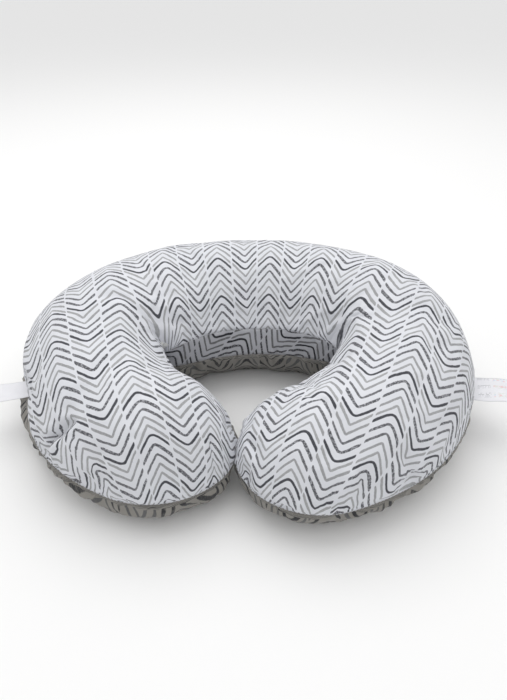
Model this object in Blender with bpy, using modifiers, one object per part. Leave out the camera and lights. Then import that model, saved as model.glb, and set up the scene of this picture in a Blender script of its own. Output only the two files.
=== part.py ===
# C-shaped nursing pillow: a fibre filled inner pillow inside a zip-on printed cover.
# Metres, +Z up, the arms' opening towards -Y.
import math

import bmesh
import bpy
import numpy as np
from mathutils import Matrix, Vector

# Ring of the stuffed pillow, seen from above
RING_HALF_X = 0.2010
RING_HALF_Y = 0.1298
FRONT_TURN_IN = 0.1244
TURN_IN_SOFTNESS = 0.5
INNER_CORNER_DEG = 80.0
INNER_CORNER_SPREAD_DEG = 42.0
INNER_CORNER_RELIEF = 0.019
LEFT_ARM_END_DEG = 147.0
RIGHT_ARM_END_DEG = 155.2
BACK_HALF_WIDTH = 0.0967
SIDE_HALF_WIDTH = 0.0888
END_HALF_WIDTH = 0.0837
END_ROUNDING = 1.07

# Heights of the stuffed section
BACK_HEIGHT = 0.1622
SIDE_HEIGHT = 0.155
END_HEIGHT = 0.126
SEAM_HEIGHT = 0.0565
END_SEAM_HEIGHT = 0.0450
FLOOR_PRESS = 1.2

# Fabrics and how they nest
COVER_FABRIC = 0.0008
CASE_FABRIC = 0.0007
COVER_TO_CASE = 0.0024
CASE_TO_FILL = 0.0045
SEAM_GAP = 0.0016
THREAD_DIAMETER = 0.0005

# Inner band of the cover
BAND_HEIGHT = 0.036
BAND_FULL_DEG = 40.0
BAND_END_DEG = 110.0
BAND_TIP_HEIGHT = 0.015

# Zip along the back of the main seam
ZIP_HALF_DEG = 55.0
ZIP_END_MARGIN_DEG = 1.5
ZIP_RUN_OUT_DEG = 9.0
ZIP_OPENING = 0.013
ZIP_TAPE_WIDTH = 0.010
ZIP_TAPE_THICKNESS = 0.0006
ZIP_TAPE_SEAT = 0.0023
ZIP_TAPE_TAIL_DEG = 1.0
ZIP_COIL_WIDTH = 0.0020
ZIP_COIL_DEPTH = 0.0013
ZIP_CENTRE_GAP = 0.0014
ZIP_CLEARANCE = 0.0003
SLIDER_LENGTH = 0.010
SLIDER_WIDTH = 0.0068
SLIDER_PLATE = 0.0008
SLIDER_POST = 0.0007
BRIDGE_RISE = 0.0008
BRIDGE_THICKNESS = 0.0007
BRIDGE_HALF_LENGTH = 0.0028
BRIDGE_WIDTH = 0.0014
TAB_LENGTH = 0.024
TAB_WIDTH = 0.0052
TAB_THICKNESS = 0.0009
TAB_WINDOW = 0.0030
STOP_LENGTH = 0.0025
BAR_TACK_LENGTH = 0.0022

# Sewn-in label and tag
LABEL_WIDTH = 0.045
LABEL_LENGTH = 0.055
LABEL_THICKNESS = 0.0005
LABEL_ROOT_DEG = 93.0
LABEL_LIFT = 0.006
TAG_WIDTH = 0.034
TAG_LENGTH = 0.048
TAG_THICKNESS = 0.0004
TAG_ROOT_DEG = -93.5
TAG_LIFT = 0.002
LABEL_SEAT = -0.0006
TAG_SEAT = -0.0006

# Mesh density
CAP_STEPS = 6
SIDE_STATIONS = 6
BACK_STATIONS = 7
TOP_RINGS = 2
BOTTOM_RINGS = 3


def clear_scene():
    for item in list(bpy.data.objects):
        bpy.data.objects.remove(item, do_unlink=True)


def new_material(name, colour, roughness, metallic=0.0):
    material = bpy.data.materials.new(name)
    material.use_nodes = True
    shader = material.node_tree.nodes["Principled BSDF"]
    shader.inputs["Base Color"].default_value = (*colour, 1.0)
    shader.inputs["Roughness"].default_value = roughness
    shader.inputs["Metallic"].default_value = metallic
    return material


def blend_three(back, side, end, share):
    if share < 0.5:
        return back + (side - back) * share / 0.5
    return side + (end - side) * (share - 0.5) / 0.5


def middle_point(angle):
    s = math.sin(angle)
    c = math.cos(angle)
    forward = (math.sqrt(c * c + TURN_IN_SOFTNESS ** 2) - c) / 2.0
    turn_in = 1.0 - FRONT_TURN_IN * (1.0 - math.cos(2.0 * angle)) * forward
    return np.array([RING_HALF_X * s * turn_in, RING_HALF_Y * c])


def middle_tangent(angle):
    step = 1e-4
    run = middle_point(angle + step) - middle_point(angle - step)
    return run / np.linalg.norm(run)


def inner_relief(angle):
    """How much less the ring reaches inwards where the waist hole turns its corners."""
    off = (abs(math.degrees(angle)) - INNER_CORNER_DEG) / INNER_CORNER_SPREAD_DEG
    return INNER_CORNER_RELIEF * math.cos(math.pi / 2.0 * min(abs(off), 1.0)) ** 2


def section_at(angle):
    """Half width, crest height and seam height of the ring's section at an angle from the back."""
    end = math.radians(LEFT_ARM_END_DEG if angle < 0.0 else RIGHT_ARM_END_DEG)
    share = min(abs(angle) / end, 1.0)
    width = blend_three(BACK_HALF_WIDTH, SIDE_HALF_WIDTH, END_HALF_WIDTH, share)
    height = blend_three(BACK_HEIGHT, SIDE_HEIGHT, END_HEIGHT, share)
    drop = min(max((share - 0.68) / 0.32, 0.0), 1.0)
    seam = SEAM_HEIGHT + (END_SEAM_HEIGHT - SEAM_HEIGHT) * drop
    return width, height, seam


def outer_point(angle):
    tangent = middle_tangent(angle)
    normal = np.array([-tangent[1], tangent[0]])
    return middle_point(angle) + normal * section_at(angle)[0]


def zip_circle():
    """Centre and radius of the circle that the zip follows, through three points of the outer seam."""
    half = math.radians(ZIP_HALF_DEG)
    side_x, side_y = outer_point(half)
    back_y = outer_point(0.0)[1]
    rise = back_y - side_y
    radius = (side_x ** 2 + rise ** 2) / (2.0 * rise)
    return np.array([0.0, back_y - radius]), radius


ZIP_CENTRE, ZIP_RADIUS = zip_circle()


def zip_share(angle):
    """1 along the zip, 0 past its ends."""
    over = (abs(math.degrees(angle)) - ZIP_HALF_DEG) / ZIP_RUN_OUT_DEG
    return min(max(1.0 - over, 0.0), 1.0)


def station_angles():
    past_zip = ZIP_HALF_DEG + ZIP_RUN_OUT_DEG
    left = np.linspace(-LEFT_ARM_END_DEG, -past_zip, SIDE_STATIONS)
    back = np.linspace(-ZIP_HALF_DEG, ZIP_HALF_DEG, BACK_STATIONS)
    right = np.linspace(past_zip, RIGHT_ARM_END_DEG, SIDE_STATIONS)
    return np.radians(np.concatenate([left, back, right]))


class Outline:
    """Stations once around the pillow: outer side, right arm's end, inner side, left arm's end."""

    def __init__(self, angles):
        self.angles = angles
        self.rows = []
        for angle in angles:
            self.add(angle, 1.0, 0.0)
        for step in range(1, CAP_STEPS):
            turn = math.pi * step / CAP_STEPS
            self.add(angles[-1], math.cos(turn), math.sin(turn))
        for angle in angles[::-1]:
            self.add(angle, -1.0, 0.0)
        for step in range(1, CAP_STEPS):
            turn = math.pi * step / CAP_STEPS
            self.add(angles[0], -math.cos(turn), -math.sin(turn))
        self.count = len(self.rows)

    def add(self, angle, side, along):
        centre = middle_point(angle)
        tangent = middle_tangent(angle)
        normal = np.array([-tangent[1], tangent[0]])
        width, height, seam = section_at(angle)
        if side == -1.0:
            width = width - inner_relief(angle)
        edge = centre + width * (normal * side + tangent * along * END_ROUNDING)
        zipped = zip_share(angle) if side == 1.0 else 0.0
        if zipped > 0.0:
            spoke = edge - ZIP_CENTRE
            on_circle = ZIP_CENTRE + spoke * ZIP_RADIUS / np.linalg.norm(spoke)
            edge = edge + (on_circle - edge) * zipped
        self.rows.append((centre, edge, height, seam, angle, side, along, zipped))

    def inner_range(self):
        first = len(self.angles) + CAP_STEPS - 1
        return range(first, first + len(self.angles))


def share_at_rise(row, rise):
    """Section share, 1 at the seam and 0 at the crest, of a point this far above the seam."""
    return 1.0 - math.asin(min(rise / (row[2] - row[3]), 1.0)) / (math.pi / 2.0)


def share_at_drop(row, drop):
    return 1.0 + math.asin(min(drop / (row[3] * FLOOR_PRESS), 1.0)) / (math.pi / 2.0)


def skin_point(row, share, inset):
    """Point of the stuffed shape: share 0 at the crest, 1 at the seam, 2 underneath."""
    centre, edge, height, seam = row[:4]
    reach = np.linalg.norm(edge - centre)
    across = math.sin(share * math.pi / 2.0)
    flat = centre + (edge - centre) * across * (1.0 - inset / reach)
    if share <= 1.0:
        z = seam + (height - inset - seam) * math.cos(share * math.pi / 2.0)
    else:
        z = max(seam + seam * FLOOR_PRESS * math.cos(share * math.pi / 2.0), inset)
    return np.array([flat[0], flat[1], z])


def settle(rings, crest_ring=None, foot_ring=None, floor=0.0):
    """Push a cage out so that its subdivided surface lies on the points it was given."""
    out = rings.copy()
    along = (2.0 * rings - np.roll(rings, 1, axis=1) - np.roll(rings, -1, axis=1)) / 8.0
    for index in range(len(rings)):
        if index in (crest_ring, foot_ring):
            continue
        out[index] += along[index]
        if 0 < index < len(rings) - 1:
            out[index] += (2.0 * rings[index] - rings[index - 1] - rings[index + 1]) / 8.0
    if crest_ring is not None:
        lift = (rings[crest_ring][:, 2] - rings[crest_ring + 1][:, 2]) / 4.0
        out[crest_ring][:, 2] += shared_mean(rings[crest_ring], lift)
    out[..., 2] = np.maximum(out[..., 2], floor)
    return out


def shared_mean(points, values):
    """Average of the values over points that lie on the same spot of the middle line."""
    groups = {}
    keys = [tuple(np.round(point[:2], 6)) for point in points]
    for key, value in zip(keys, values):
        groups.setdefault(key, []).append(value)
    return np.array([sum(groups[key]) / len(groups[key]) for key in keys])


def cage_rings(outline, first_share, last_share, steps, inset):
    """Rings between two section shares; each share is a function of the station."""
    rings = []
    for step in range(steps + 1):
        ring = []
        for row in outline.rows:
            low = first_share(row)
            high = last_share(row)
            share = low + (high - low) * step / steps
            ring.append(skin_point(row, share, inset(row, share)))
        rings.append(ring)
    return np.array(rings)


def link(name, mesh, collection, parent, material, smooth=True):
    item = bpy.data.objects.new(name, mesh)
    collection.objects.link(item)
    item.parent = parent
    mesh.materials.append(material)
    for polygon in mesh.polygons:
        polygon.use_smooth = smooth
    return item


def rings_to_mesh(name, rings, closed_loop=True):
    """Grid of quads over the rings, welded where the rings close up on the middle line."""
    shape = bmesh.new()
    grid = [[shape.verts.new(point) for point in ring] for ring in rings]
    count = len(rings[0])
    for low, high in zip(grid[:-1], grid[1:]):
        for index in range(count if closed_loop else count - 1):
            after = (index + 1) % count
            shape.faces.new((low[index], low[after], high[after], high[index]))
    bmesh.ops.remove_doubles(shape, verts=shape.verts, dist=1e-6)
    bmesh.ops.dissolve_degenerate(shape, dist=1e-7, edges=shape.edges)
    mesh = bpy.data.meshes.new(name)
    shape.to_mesh(mesh)
    shape.free()
    return mesh


def face_away(mesh, centre_of):
    """Turn the whole sheet so that its faces look away from the pillow's middle line."""
    total = 0.0
    for polygon in mesh.polygons:
        total += polygon.area * polygon.normal.dot(polygon.center - centre_of(polygon.center))
    if total < 0.0:
        mesh.flip_normals()


def middle_of_section(point):
    angle = math.atan2(point.x / RING_HALF_X, point.y / RING_HALF_Y)
    angle = min(max(angle, -math.radians(LEFT_ARM_END_DEG)), math.radians(RIGHT_ARM_END_DEG))
    centre = middle_point(angle)
    return Vector((centre[0], centre[1], SEAM_HEIGHT))


def add_subdivision(item):
    rounding = item.modifiers.new("rounding", "SUBSURF")
    rounding.levels = 1
    rounding.render_levels = 1
    rounding.use_limit_surface = False


def add_thickness(item, thickness):
    shell = item.modifiers.new("fabric", "SOLIDIFY")
    shell.thickness = thickness
    shell.offset = 1.0


def panel(name, rings, thickness, collection, parent, material, closed_loop=True):
    mesh = rings_to_mesh(name, rings, closed_loop)
    face_away(mesh, middle_of_section)
    item = link(name, mesh, collection, parent, material)
    add_subdivision(item)
    add_thickness(item, thickness)
    return item


def band_share(angle):
    over = (abs(math.degrees(angle)) - BAND_FULL_DEG) / (BAND_END_DEG - BAND_FULL_DEG)
    return 0.5 + 0.5 * math.cos(math.pi * min(max(over, 0.0), 1.0))


def band_rise(row):
    return BAND_HEIGHT * band_share(row[4]) if row[5] == -1.0 else 0.0


def top_edge(row):
    rise = max(band_rise(row), ZIP_OPENING / 2.0 * row[7]) + SEAM_GAP / 2.0
    return share_at_rise(row, rise)


def bottom_edge(row):
    return share_at_drop(row, ZIP_OPENING / 2.0 * row[7] + SEAM_GAP / 2.0)


def cover_panels(collection, parent, fabric):
    outline = Outline(station_angles())

    def inset(row, share):
        return COVER_FABRIC

    top = cage_rings(outline, lambda row: 0.0, top_edge, TOP_RINGS, inset)
    top = settle(top, crest_ring=0)
    panel("cover_top_panel", top, COVER_FABRIC, collection, parent, fabric)
    bottom = cage_rings(outline, bottom_edge, lambda row: 2.0, BOTTOM_RINGS, inset)
    bottom = settle(bottom, foot_ring=BOTTOM_RINGS, floor=COVER_FABRIC)
    panel("cover_bottom_panel", bottom, COVER_FABRIC, collection, parent, fabric)
    return outline


def inner_band(outline, collection, parent, fabric):
    """Strip between the top panel's inner edge and the main seam, running out on both arms."""
    def inset(row, share):
        return COVER_FABRIC

    low = cage_rings(outline, lambda row: share_at_rise(row, SEAM_GAP / 2.0), top_edge_of_band, 2, inset)
    low = settle(low)
    keep = [i for i in outline.inner_range() if band_rise(outline.rows[i]) > BAND_TIP_HEIGHT]
    strip = low[:, keep]
    panel("cover_inner_band", strip, COVER_FABRIC, collection, parent, fabric, closed_loop=False)
    return keep


def top_edge_of_band(row):
    return share_at_rise(row, max(band_rise(row) - SEAM_GAP / 2.0, SEAM_GAP))


def case_inset(row, share):
    """The case lies close under the cover and gives way to the zip along the main seam."""
    near_seam = max(1.0 - abs(share - 1.0) / 0.3, 0.0)
    zip_room = ZIP_TAPE_SEAT + ZIP_TAPE_THICKNESS + SLIDER_PLATE + ZIP_CLEARANCE * 4.0
    return COVER_FABRIC + COVER_TO_CASE + CASE_FABRIC + zip_room * near_seam * row[7]


def case_halves(outline, collection, parent, fabric):
    rise = SEAM_GAP / 2.0
    top = cage_rings(outline, lambda row: 0.0, lambda row: share_at_rise(row, rise), TOP_RINGS, case_inset)
    top = settle(top, crest_ring=0)
    panel("case_top_half", top, CASE_FABRIC, collection, parent, fabric)
    bottom = cage_rings(outline, lambda row: share_at_drop(row, rise), lambda row: 2.0,
                        BOTTOM_RINGS, case_inset)
    floor = COVER_FABRIC + COVER_TO_CASE + CASE_FABRIC
    bottom = settle(bottom, foot_ring=BOTTOM_RINGS, floor=floor)
    panel("case_bottom_half", bottom, CASE_FABRIC, collection, parent, fabric)


def fibre_filling(outline, collection, parent, fibre):
    def inset(row, share):
        return case_inset(row, share) + CASE_TO_FILL

    upper = cage_rings(outline, lambda row: 0.0, lambda row: 1.0, TOP_RINGS, inset)
    lower = cage_rings(outline, lambda row: 1.0, lambda row: 2.0, BOTTOM_RINGS, inset)
    floor = COVER_FABRIC + COVER_TO_CASE + CASE_FABRIC + CASE_TO_FILL
    rings = np.concatenate([upper, lower[1:]])
    rings = settle(rings, crest_ring=0, foot_ring=TOP_RINGS + BOTTOM_RINGS, floor=floor)
    mesh = rings_to_mesh("fibre_filling", rings)
    face_away(mesh, middle_of_section)
    item = link("fibre_filling", mesh, collection, parent, fibre)
    add_subdivision(item)


def subdivided(points):
    """The edge points that one subdivision gives between the first and the last point."""
    result = []
    for before, here, after in zip(points[:-2], points[1:-1], points[2:]):
        result.append((before + here) / 2.0)
        result.append((before + 6.0 * here + after) / 8.0)
    result.append((points[-2] + points[-1]) / 2.0)
    return result


def thread(name, points, collection, parent, material):
    """Sewing thread laid along a seam as a round tube with closed ends."""
    curve = bpy.data.curves.new(name, "CURVE")
    curve.dimensions = "3D"
    curve.bevel_depth = THREAD_DIAMETER / 2.0
    curve.bevel_resolution = 1
    curve.use_fill_caps = True
    spline = curve.splines.new("POLY")
    spline.points.add(len(points) - 1)
    for target, point in zip(spline.points, points):
        target.co = (*point, 1.0)
    item = bpy.data.objects.new(name, curve)
    collection.objects.link(item)
    item.parent = parent
    curve.materials.append(material)


def seam_threads(outline, band_stations, collection, parent, material):
    def inset(row, share):
        return COVER_FABRIC / 2.0

    def seam_line(row):
        return 1.0

    def band_line(row):
        return share_at_rise(row, max(band_rise(row), SEAM_GAP))

    main = settle(cage_rings(outline, seam_line, seam_line, 1, inset))[0]
    zipped = [i for i, row in enumerate(outline.rows) if row[7] > 0.0]
    after_zip = list(range(zipped[-1] + 1, outline.count))
    before_zip = list(range(0, zipped[0]))
    route = [main[i] for i in after_zip + before_zip]
    thread("main_seam_thread", subdivided(route), collection, parent, material)
    upper = settle(cage_rings(outline, band_line, band_line, 1, inset))[0]
    route = [upper[i] for i in band_stations]
    thread("band_seam_thread", subdivided(route), collection, parent, material)


def turned_strip(name, profile, first, last, collection, parent, material):
    """Sweep a closed profile of (radius, height) points about the zip's own axis."""
    shape = bmesh.new()
    corners = [shape.verts.new((radius, 0.0, z)) for radius, z in profile]
    face = shape.faces.new(corners)
    bmesh.ops.rotate(shape, verts=shape.verts, cent=(0, 0, 0), matrix=Matrix.Rotation(first, 3, "Z"))
    steps = max(2, math.ceil((last - first) / math.radians(4.0)))
    ring = [face]
    turn = Matrix.Rotation((last - first) / steps, 3, "Z")
    for _ in range(steps):
        made = bmesh.ops.extrude_face_region(shape, geom=ring)["geom"]
        moved = [part for part in made if isinstance(part, bmesh.types.BMVert)]
        ring = [part for part in made if isinstance(part, bmesh.types.BMFace)]
        bmesh.ops.rotate(shape, verts=moved, cent=(0, 0, 0), matrix=turn)
    inside = [part for part in shape.faces if all(len(edge.link_faces) > 2 for edge in part.edges)]
    bmesh.ops.delete(shape, geom=inside, context="FACES_ONLY")
    bmesh.ops.recalc_face_normals(shape, faces=shape.faces)
    mesh = bpy.data.meshes.new(name)
    shape.to_mesh(mesh)
    shape.free()
    return link(name, mesh, collection, parent, material, smooth=False)


def section_radius(rise, inset):
    """Radius of the cover's section near the seam, measured from the zip's axis."""
    half_height = BACK_HEIGHT - SEAM_HEIGHT if rise > 0.0 else SEAM_HEIGHT * FLOOR_PRESS
    lean = math.sqrt(1.0 - min(abs(rise) / half_height, 1.0) ** 2)
    return ZIP_RADIUS - SIDE_HALF_WIDTH * (1.0 - lean) - inset


def tape_profile(side):
    """Tape's section from the coil's foot to its sewn edge, following the cover's section."""
    start = ZIP_CENTRE_GAP / 2.0
    rises = [start, ZIP_OPENING / 2.0, start + ZIP_TAPE_WIDTH]
    outer_face = [(section_radius(side * rise, ZIP_TAPE_SEAT + COVER_FABRIC), side * rise) for rise in rises]
    back_face = [(radius - ZIP_TAPE_THICKNESS, z) for radius, z in outer_face]
    return outer_face + back_face[::-1]


def coil_profile(side):
    """Six-sided bead that stands for one row of coil, on the tape's inner edge."""
    foot = ZIP_RADIUS - ZIP_TAPE_SEAT - COVER_FABRIC + ZIP_CLEARANCE
    near = ZIP_CENTRE_GAP / 2.0
    far = near + ZIP_COIL_WIDTH
    middle = (near + far) / 2.0
    top = foot + ZIP_COIL_DEPTH
    shoulder = foot + ZIP_COIL_DEPTH * 0.6
    points = [(foot, near), (shoulder, near), (top, middle), (shoulder, far), (foot, far)]
    return [(radius, side * z) for radius, z in points]


def zip_angles():
    """Angles about the zip's axis, from +X, of the right and left ends of the coil."""
    spoke = outer_point(math.radians(ZIP_HALF_DEG - ZIP_END_MARGIN_DEG)) - ZIP_CENTRE
    right = math.atan2(spoke[1], spoke[0])
    return right, math.pi - right


def fixed_zip(zip_axis, collection, tape, coil, metal, stitch):
    right, left = zip_angles()
    tail = math.radians(ZIP_TAPE_TAIL_DEG)
    stop = STOP_LENGTH / ZIP_RADIUS
    for side, name in ((1.0, "upper"), (-1.0, "lower")):
        turned_strip("zip_tape_" + name, tape_profile(side), right - tail, left + tail,
                     collection, zip_axis, tape)
        turned_strip("zip_coil_" + name, coil_profile(side), right + stop * 1.3, left - stop * 1.3,
                     collection, zip_axis, coil)
        turned_strip("zip_top_stop_" + name, coil_profile(side), right + stop * 0.1, right + stop * 1.1,
                     collection, zip_axis, metal)
    foot = ZIP_RADIUS - ZIP_TAPE_SEAT - COVER_FABRIC + ZIP_CLEARANCE
    half = ZIP_CENTRE_GAP / 2.0 + ZIP_COIL_WIDTH
    block = [(foot, -half), (foot + ZIP_COIL_DEPTH, -half), (foot + ZIP_COIL_DEPTH, half), (foot, half)]
    turned_strip("zip_bottom_stop", block, left - stop * 1.1, left - stop * 0.1, collection, zip_axis, metal)
    tack = BAR_TACK_LENGTH / ZIP_RADIUS
    half = ZIP_OPENING / 2.0 - ZIP_CLEARANCE
    row = [(foot, -half), (foot + 0.0006, -half), (foot + 0.0006, half), (foot, half)]
    turned_strip("bar_tack_right", row, right - tack * 1.3, right - tack * 0.3, collection, zip_axis, stitch)
    turned_strip("bar_tack_left", row, left + tack * 0.3, left + tack * 1.3, collection, zip_axis, stitch)


def prism(name, outline, thickness, collection, parent, material):
    """Flat outline in X and Y, pulled up by its thickness about its own middle plane."""
    shape = bmesh.new()
    face = shape.faces.new([shape.verts.new((x, y, -thickness / 2.0)) for x, y in outline])
    made = bmesh.ops.extrude_face_region(shape, geom=[face])["geom"]
    moved = [part for part in made if isinstance(part, bmesh.types.BMVert)]
    bmesh.ops.translate(shape, verts=moved, vec=(0.0, 0.0, thickness))
    bmesh.ops.recalc_face_normals(shape, faces=shape.faces)
    mesh = bpy.data.meshes.new(name)
    shape.to_mesh(mesh)
    shape.free()
    return link(name, mesh, collection, parent, material, smooth=False)


def cut_box(name, size, place, cutters):
    bpy.ops.mesh.primitive_cube_add(size=1.0, location=place)
    cutter = bpy.context.object
    cutter.name = name
    cutter.scale = size
    for owner in list(cutter.users_collection):
        owner.objects.unlink(cutter)
    cutters.objects.link(cutter)
    cutter.hide_render = True
    cutter.display_type = "WIRE"
    return cutter


def slider_profile():
    """Slider seen along its width: outer plate, post, inner plate, and the bridge on the outer plate.
    X runs outwards from the tape's outer face, Y along the zip."""
    outer_face = ZIP_CLEARANCE * 2.0 + ZIP_COIL_DEPTH
    inner_face = -ZIP_TAPE_THICKNESS - ZIP_CLEARANCE * 2.0
    half = SLIDER_LENGTH / 2.0
    post_back = half - 0.0018
    plate_top = outer_face + SLIDER_PLATE
    bridge_under = plate_top + BRIDGE_RISE * 2.0
    bridge_top = bridge_under + BRIDGE_THICKNESS
    leg = BRIDGE_HALF_LENGTH
    return outer_face, inner_face, half, post_back, plate_top, bridge_under, bridge_top, leg


def box_part(shape, low, high):
    """One box of a slider, added to a mesh that is being built."""
    centre = (Vector(low) + Vector(high)) / 2.0
    size = Vector(high) - Vector(low)
    place = Matrix.Translation(centre) @ Matrix.Diagonal((*size, 1.0))
    bmesh.ops.create_cube(shape, size=1.0, matrix=place)


def joined_boxes(name, boxes, collection, parent, material):
    """Union of boxes as one closed body."""
    pieces = []
    for index, (low, high) in enumerate(boxes):
        shape = bmesh.new()
        box_part(shape, low, high)
        mesh = bpy.data.meshes.new(name + "_part")
        shape.to_mesh(mesh)
        shape.free()
        pieces.append(mesh)
    base = link(name, pieces[0], collection, parent, material, smooth=False)
    for index, mesh in enumerate(pieces[1:]):
        tool = bpy.data.objects.new(f"{name}_add_{index}", mesh)
        cutters = bpy.data.collections["cutters"]
        cutters.objects.link(tool)
        tool.parent = parent
        tool.hide_render = True
        tool.display_type = "WIRE"
        union = base.modifiers.new("union", "BOOLEAN")
        union.operation = "UNION"
        union.solver = "EXACT"
        union.object = tool
    return base


def slider(mount, collection, metal):
    """Two plates around the coils, joined by a post, with a bridge for the tab."""
    outer_face, inner_face, half, post_back, plate_top, bridge_under, bridge_top, leg = slider_profile()
    wide = SLIDER_WIDTH / 2.0
    post = SLIDER_POST / 2.0
    bridge = BRIDGE_WIDTH / 2.0
    sink = SLIDER_PLATE / 2.0
    boxes = [
        ((outer_face, -half, -wide), (plate_top, half, wide)),
        ((inner_face - SLIDER_PLATE, -half, -wide), (inner_face, half, wide)),
        ((inner_face - sink, -half, -post), (outer_face + sink, -post_back, post)),
        ((plate_top - sink, -leg - BRIDGE_THICKNESS, -bridge), (bridge_top, -leg, bridge)),
        ((plate_top - sink, leg, -bridge), (bridge_top, leg + BRIDGE_THICKNESS, bridge)),
        ((bridge_under, -leg - sink, -bridge), (bridge_top, leg + sink, bridge)),
    ]
    return joined_boxes("zip_slider", boxes, collection, mount, metal)


def pull_tab(pivot, collection, metal):
    """Flat tab whose end bar turns under the slider's bridge. It lies along +Y of its pivot."""
    bar = TAB_THICKNESS / 2.0
    half = TAB_WIDTH / 2.0
    window = BRIDGE_WIDTH / 2.0 + ZIP_CLEARANCE
    far = bar + TAB_WINDOW + BRIDGE_THICKNESS
    boxes = [
        ((-bar, -bar, -half), (bar, bar, half)),
        ((-bar, 0.0, window), (bar, far + bar, half)),
        ((-bar, 0.0, -half), (bar, far + bar, -window)),
        ((-bar, far, -half), (bar, TAB_LENGTH, half)),
    ]
    return joined_boxes("zip_pull_tab", boxes, collection, pivot, metal)


def empty(name, place, parent, turn=0.0):
    item = bpy.data.objects.new(name, None)
    bpy.context.scene.collection.objects.link(item)
    item.parent = parent
    item.location = place
    item.rotation_euler = (0.0, 0.0, turn)
    return item


def moving_zip(zip_axis, collection, metal):
    right = zip_angles()[0]
    stop = STOP_LENGTH / ZIP_RADIUS
    rest = right + stop * 1.3 + (SLIDER_LENGTH / 2.0) / ZIP_RADIUS
    tape_face = ZIP_RADIUS - ZIP_TAPE_SEAT - COVER_FABRIC
    place = (tape_face * math.cos(rest), tape_face * math.sin(rest), 0.0)
    mount = empty("zip_slider_mount", place, zip_axis, rest)
    slider(mount, collection, metal)
    outer = slider_profile()
    pivot_height = outer[4] + BRIDGE_RISE
    pivot = empty("pull_tab_pivot", (pivot_height, 0.0, 0.0), mount)
    pull_tab(pivot, collection, metal)
    return pivot


def ribbon(name, length, width, thickness, lift, collection, parent, material):
    """Sewn-in ribbon that leaves the seam along +X of its hinge and rises in a shallow arc."""
    steps = 6
    upper = []
    lower = []
    for step in range(steps + 1):
        share = step / steps
        x = length * share
        z = lift * math.sin(share * math.pi * 0.6) / math.sin(math.pi * 0.6)
        upper.append((x, z + thickness / 2.0))
        lower.append((x, z - thickness / 2.0))
    item = prism(name, upper + lower[::-1], width, collection, parent, material)
    item.rotation_euler = (math.pi / 2.0, 0.0, 0.0)
    return item


def seam_label(name, root_deg, sizes, collection, root, material):
    """Hinge at the seam, turned to face straight out of it, with the ribbon on it."""
    length, width, thickness, lift, seat = sizes
    angle = math.radians(root_deg)
    point = outer_point(angle)
    tangent = middle_tangent(angle)
    out = np.array([-tangent[1], tangent[0]])
    seam = section_at(angle)[2]
    start = point + out * seat
    hinge = empty(name + "_hinge", (start[0], start[1], seam), root, math.atan2(out[1], out[0]))
    ribbon(name, length, width, thickness, lift, collection, hinge, material)
    return hinge


def centre_on_floor(root, collection):
    """Move the whole object so that the frame's origin is under the middle of its box."""
    bpy.context.view_layer.update()
    graph = bpy.context.evaluated_depsgraph_get()
    corners = []
    for item in collection.objects:
        seen = item.evaluated_get(graph)
        if item.type == "MESH":
            corners += [seen.matrix_world @ vertex.co for vertex in seen.data.vertices]
    box = np.array(corners)
    middle = (box.min(axis=0) + box.max(axis=0)) / 2.0
    root.location = (-middle[0], -middle[1], -box[:, 2].min())
    bpy.context.view_layer.update()


def report(name, item):
    place = item.matrix_world.translation
    turn = math.degrees(item.matrix_world.to_euler().z)
    print(f"{name}: {place.x:.5f} {place.y:.5f} {place.z:.5f} turn {turn:.3f}")


def main():
    clear_scene()
    collection = bpy.data.collections.new("nursing_pillow")
    cutters = bpy.data.collections.new("cutters")
    bpy.context.scene.collection.children.link(collection)
    bpy.context.scene.collection.children.link(cutters)
    root = empty("nursing_pillow_origin", (0.0, 0.0, 0.0), None)

    printed = new_material("printed_cotton", (0.80, 0.81, 0.85), 0.85)
    case_cloth = new_material("case_cloth", (0.86, 0.85, 0.82), 0.9)
    fibre = new_material("polyester_fibre", (0.93, 0.93, 0.92), 0.95)
    sewing = new_material("sewing_thread", (0.75, 0.76, 0.79), 0.7)
    tape = new_material("zip_tape_grey", (0.33, 0.32, 0.35), 0.85)
    coil = new_material("zip_coil_nylon", (0.38, 0.37, 0.40), 0.45)
    metal = new_material("zip_metal", (0.62, 0.62, 0.64), 0.35, 0.9)
    satin = new_material("label_satin", (0.86, 0.86, 0.88), 0.45)
    film = new_material("tag_film", (0.84, 0.87, 0.87), 0.5)

    outline = cover_panels(collection, root, printed)
    band_stations = inner_band(outline, collection, root, printed)
    case_halves(outline, collection, root, case_cloth)
    fibre_filling(outline, collection, root, fibre)
    seam_threads(outline, band_stations, collection, root, sewing)

    zip_axis = empty("zip_axis", (ZIP_CENTRE[0], ZIP_CENTRE[1], SEAM_HEIGHT), root)
    fixed_zip(zip_axis, collection, tape, coil, metal, sewing)
    pivot = moving_zip(zip_axis, collection, metal)

    label_sizes = (LABEL_LENGTH, LABEL_WIDTH, LABEL_THICKNESS, LABEL_LIFT, LABEL_SEAT)
    label = seam_label("care_label", LABEL_ROOT_DEG, label_sizes, collection, root, satin)
    tag_sizes = (TAG_LENGTH, TAG_WIDTH, TAG_THICKNESS, TAG_LIFT, TAG_SEAT)
    tag = seam_label("side_tag", TAG_ROOT_DEG, tag_sizes, collection, root, film)

    centre_on_floor(root, collection)
    report("origin", root)
    report("zip axis", zip_axis)
    report("tab pivot", pivot)
    report("label hinge", label)
    report("tag hinge", tag)


main()
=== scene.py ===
from math import cos, pi, radians, sin

import bmesh
import bpy
import numpy as np
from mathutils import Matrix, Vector, kdtree
from mathutils.bvhtree import BVHTree


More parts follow.
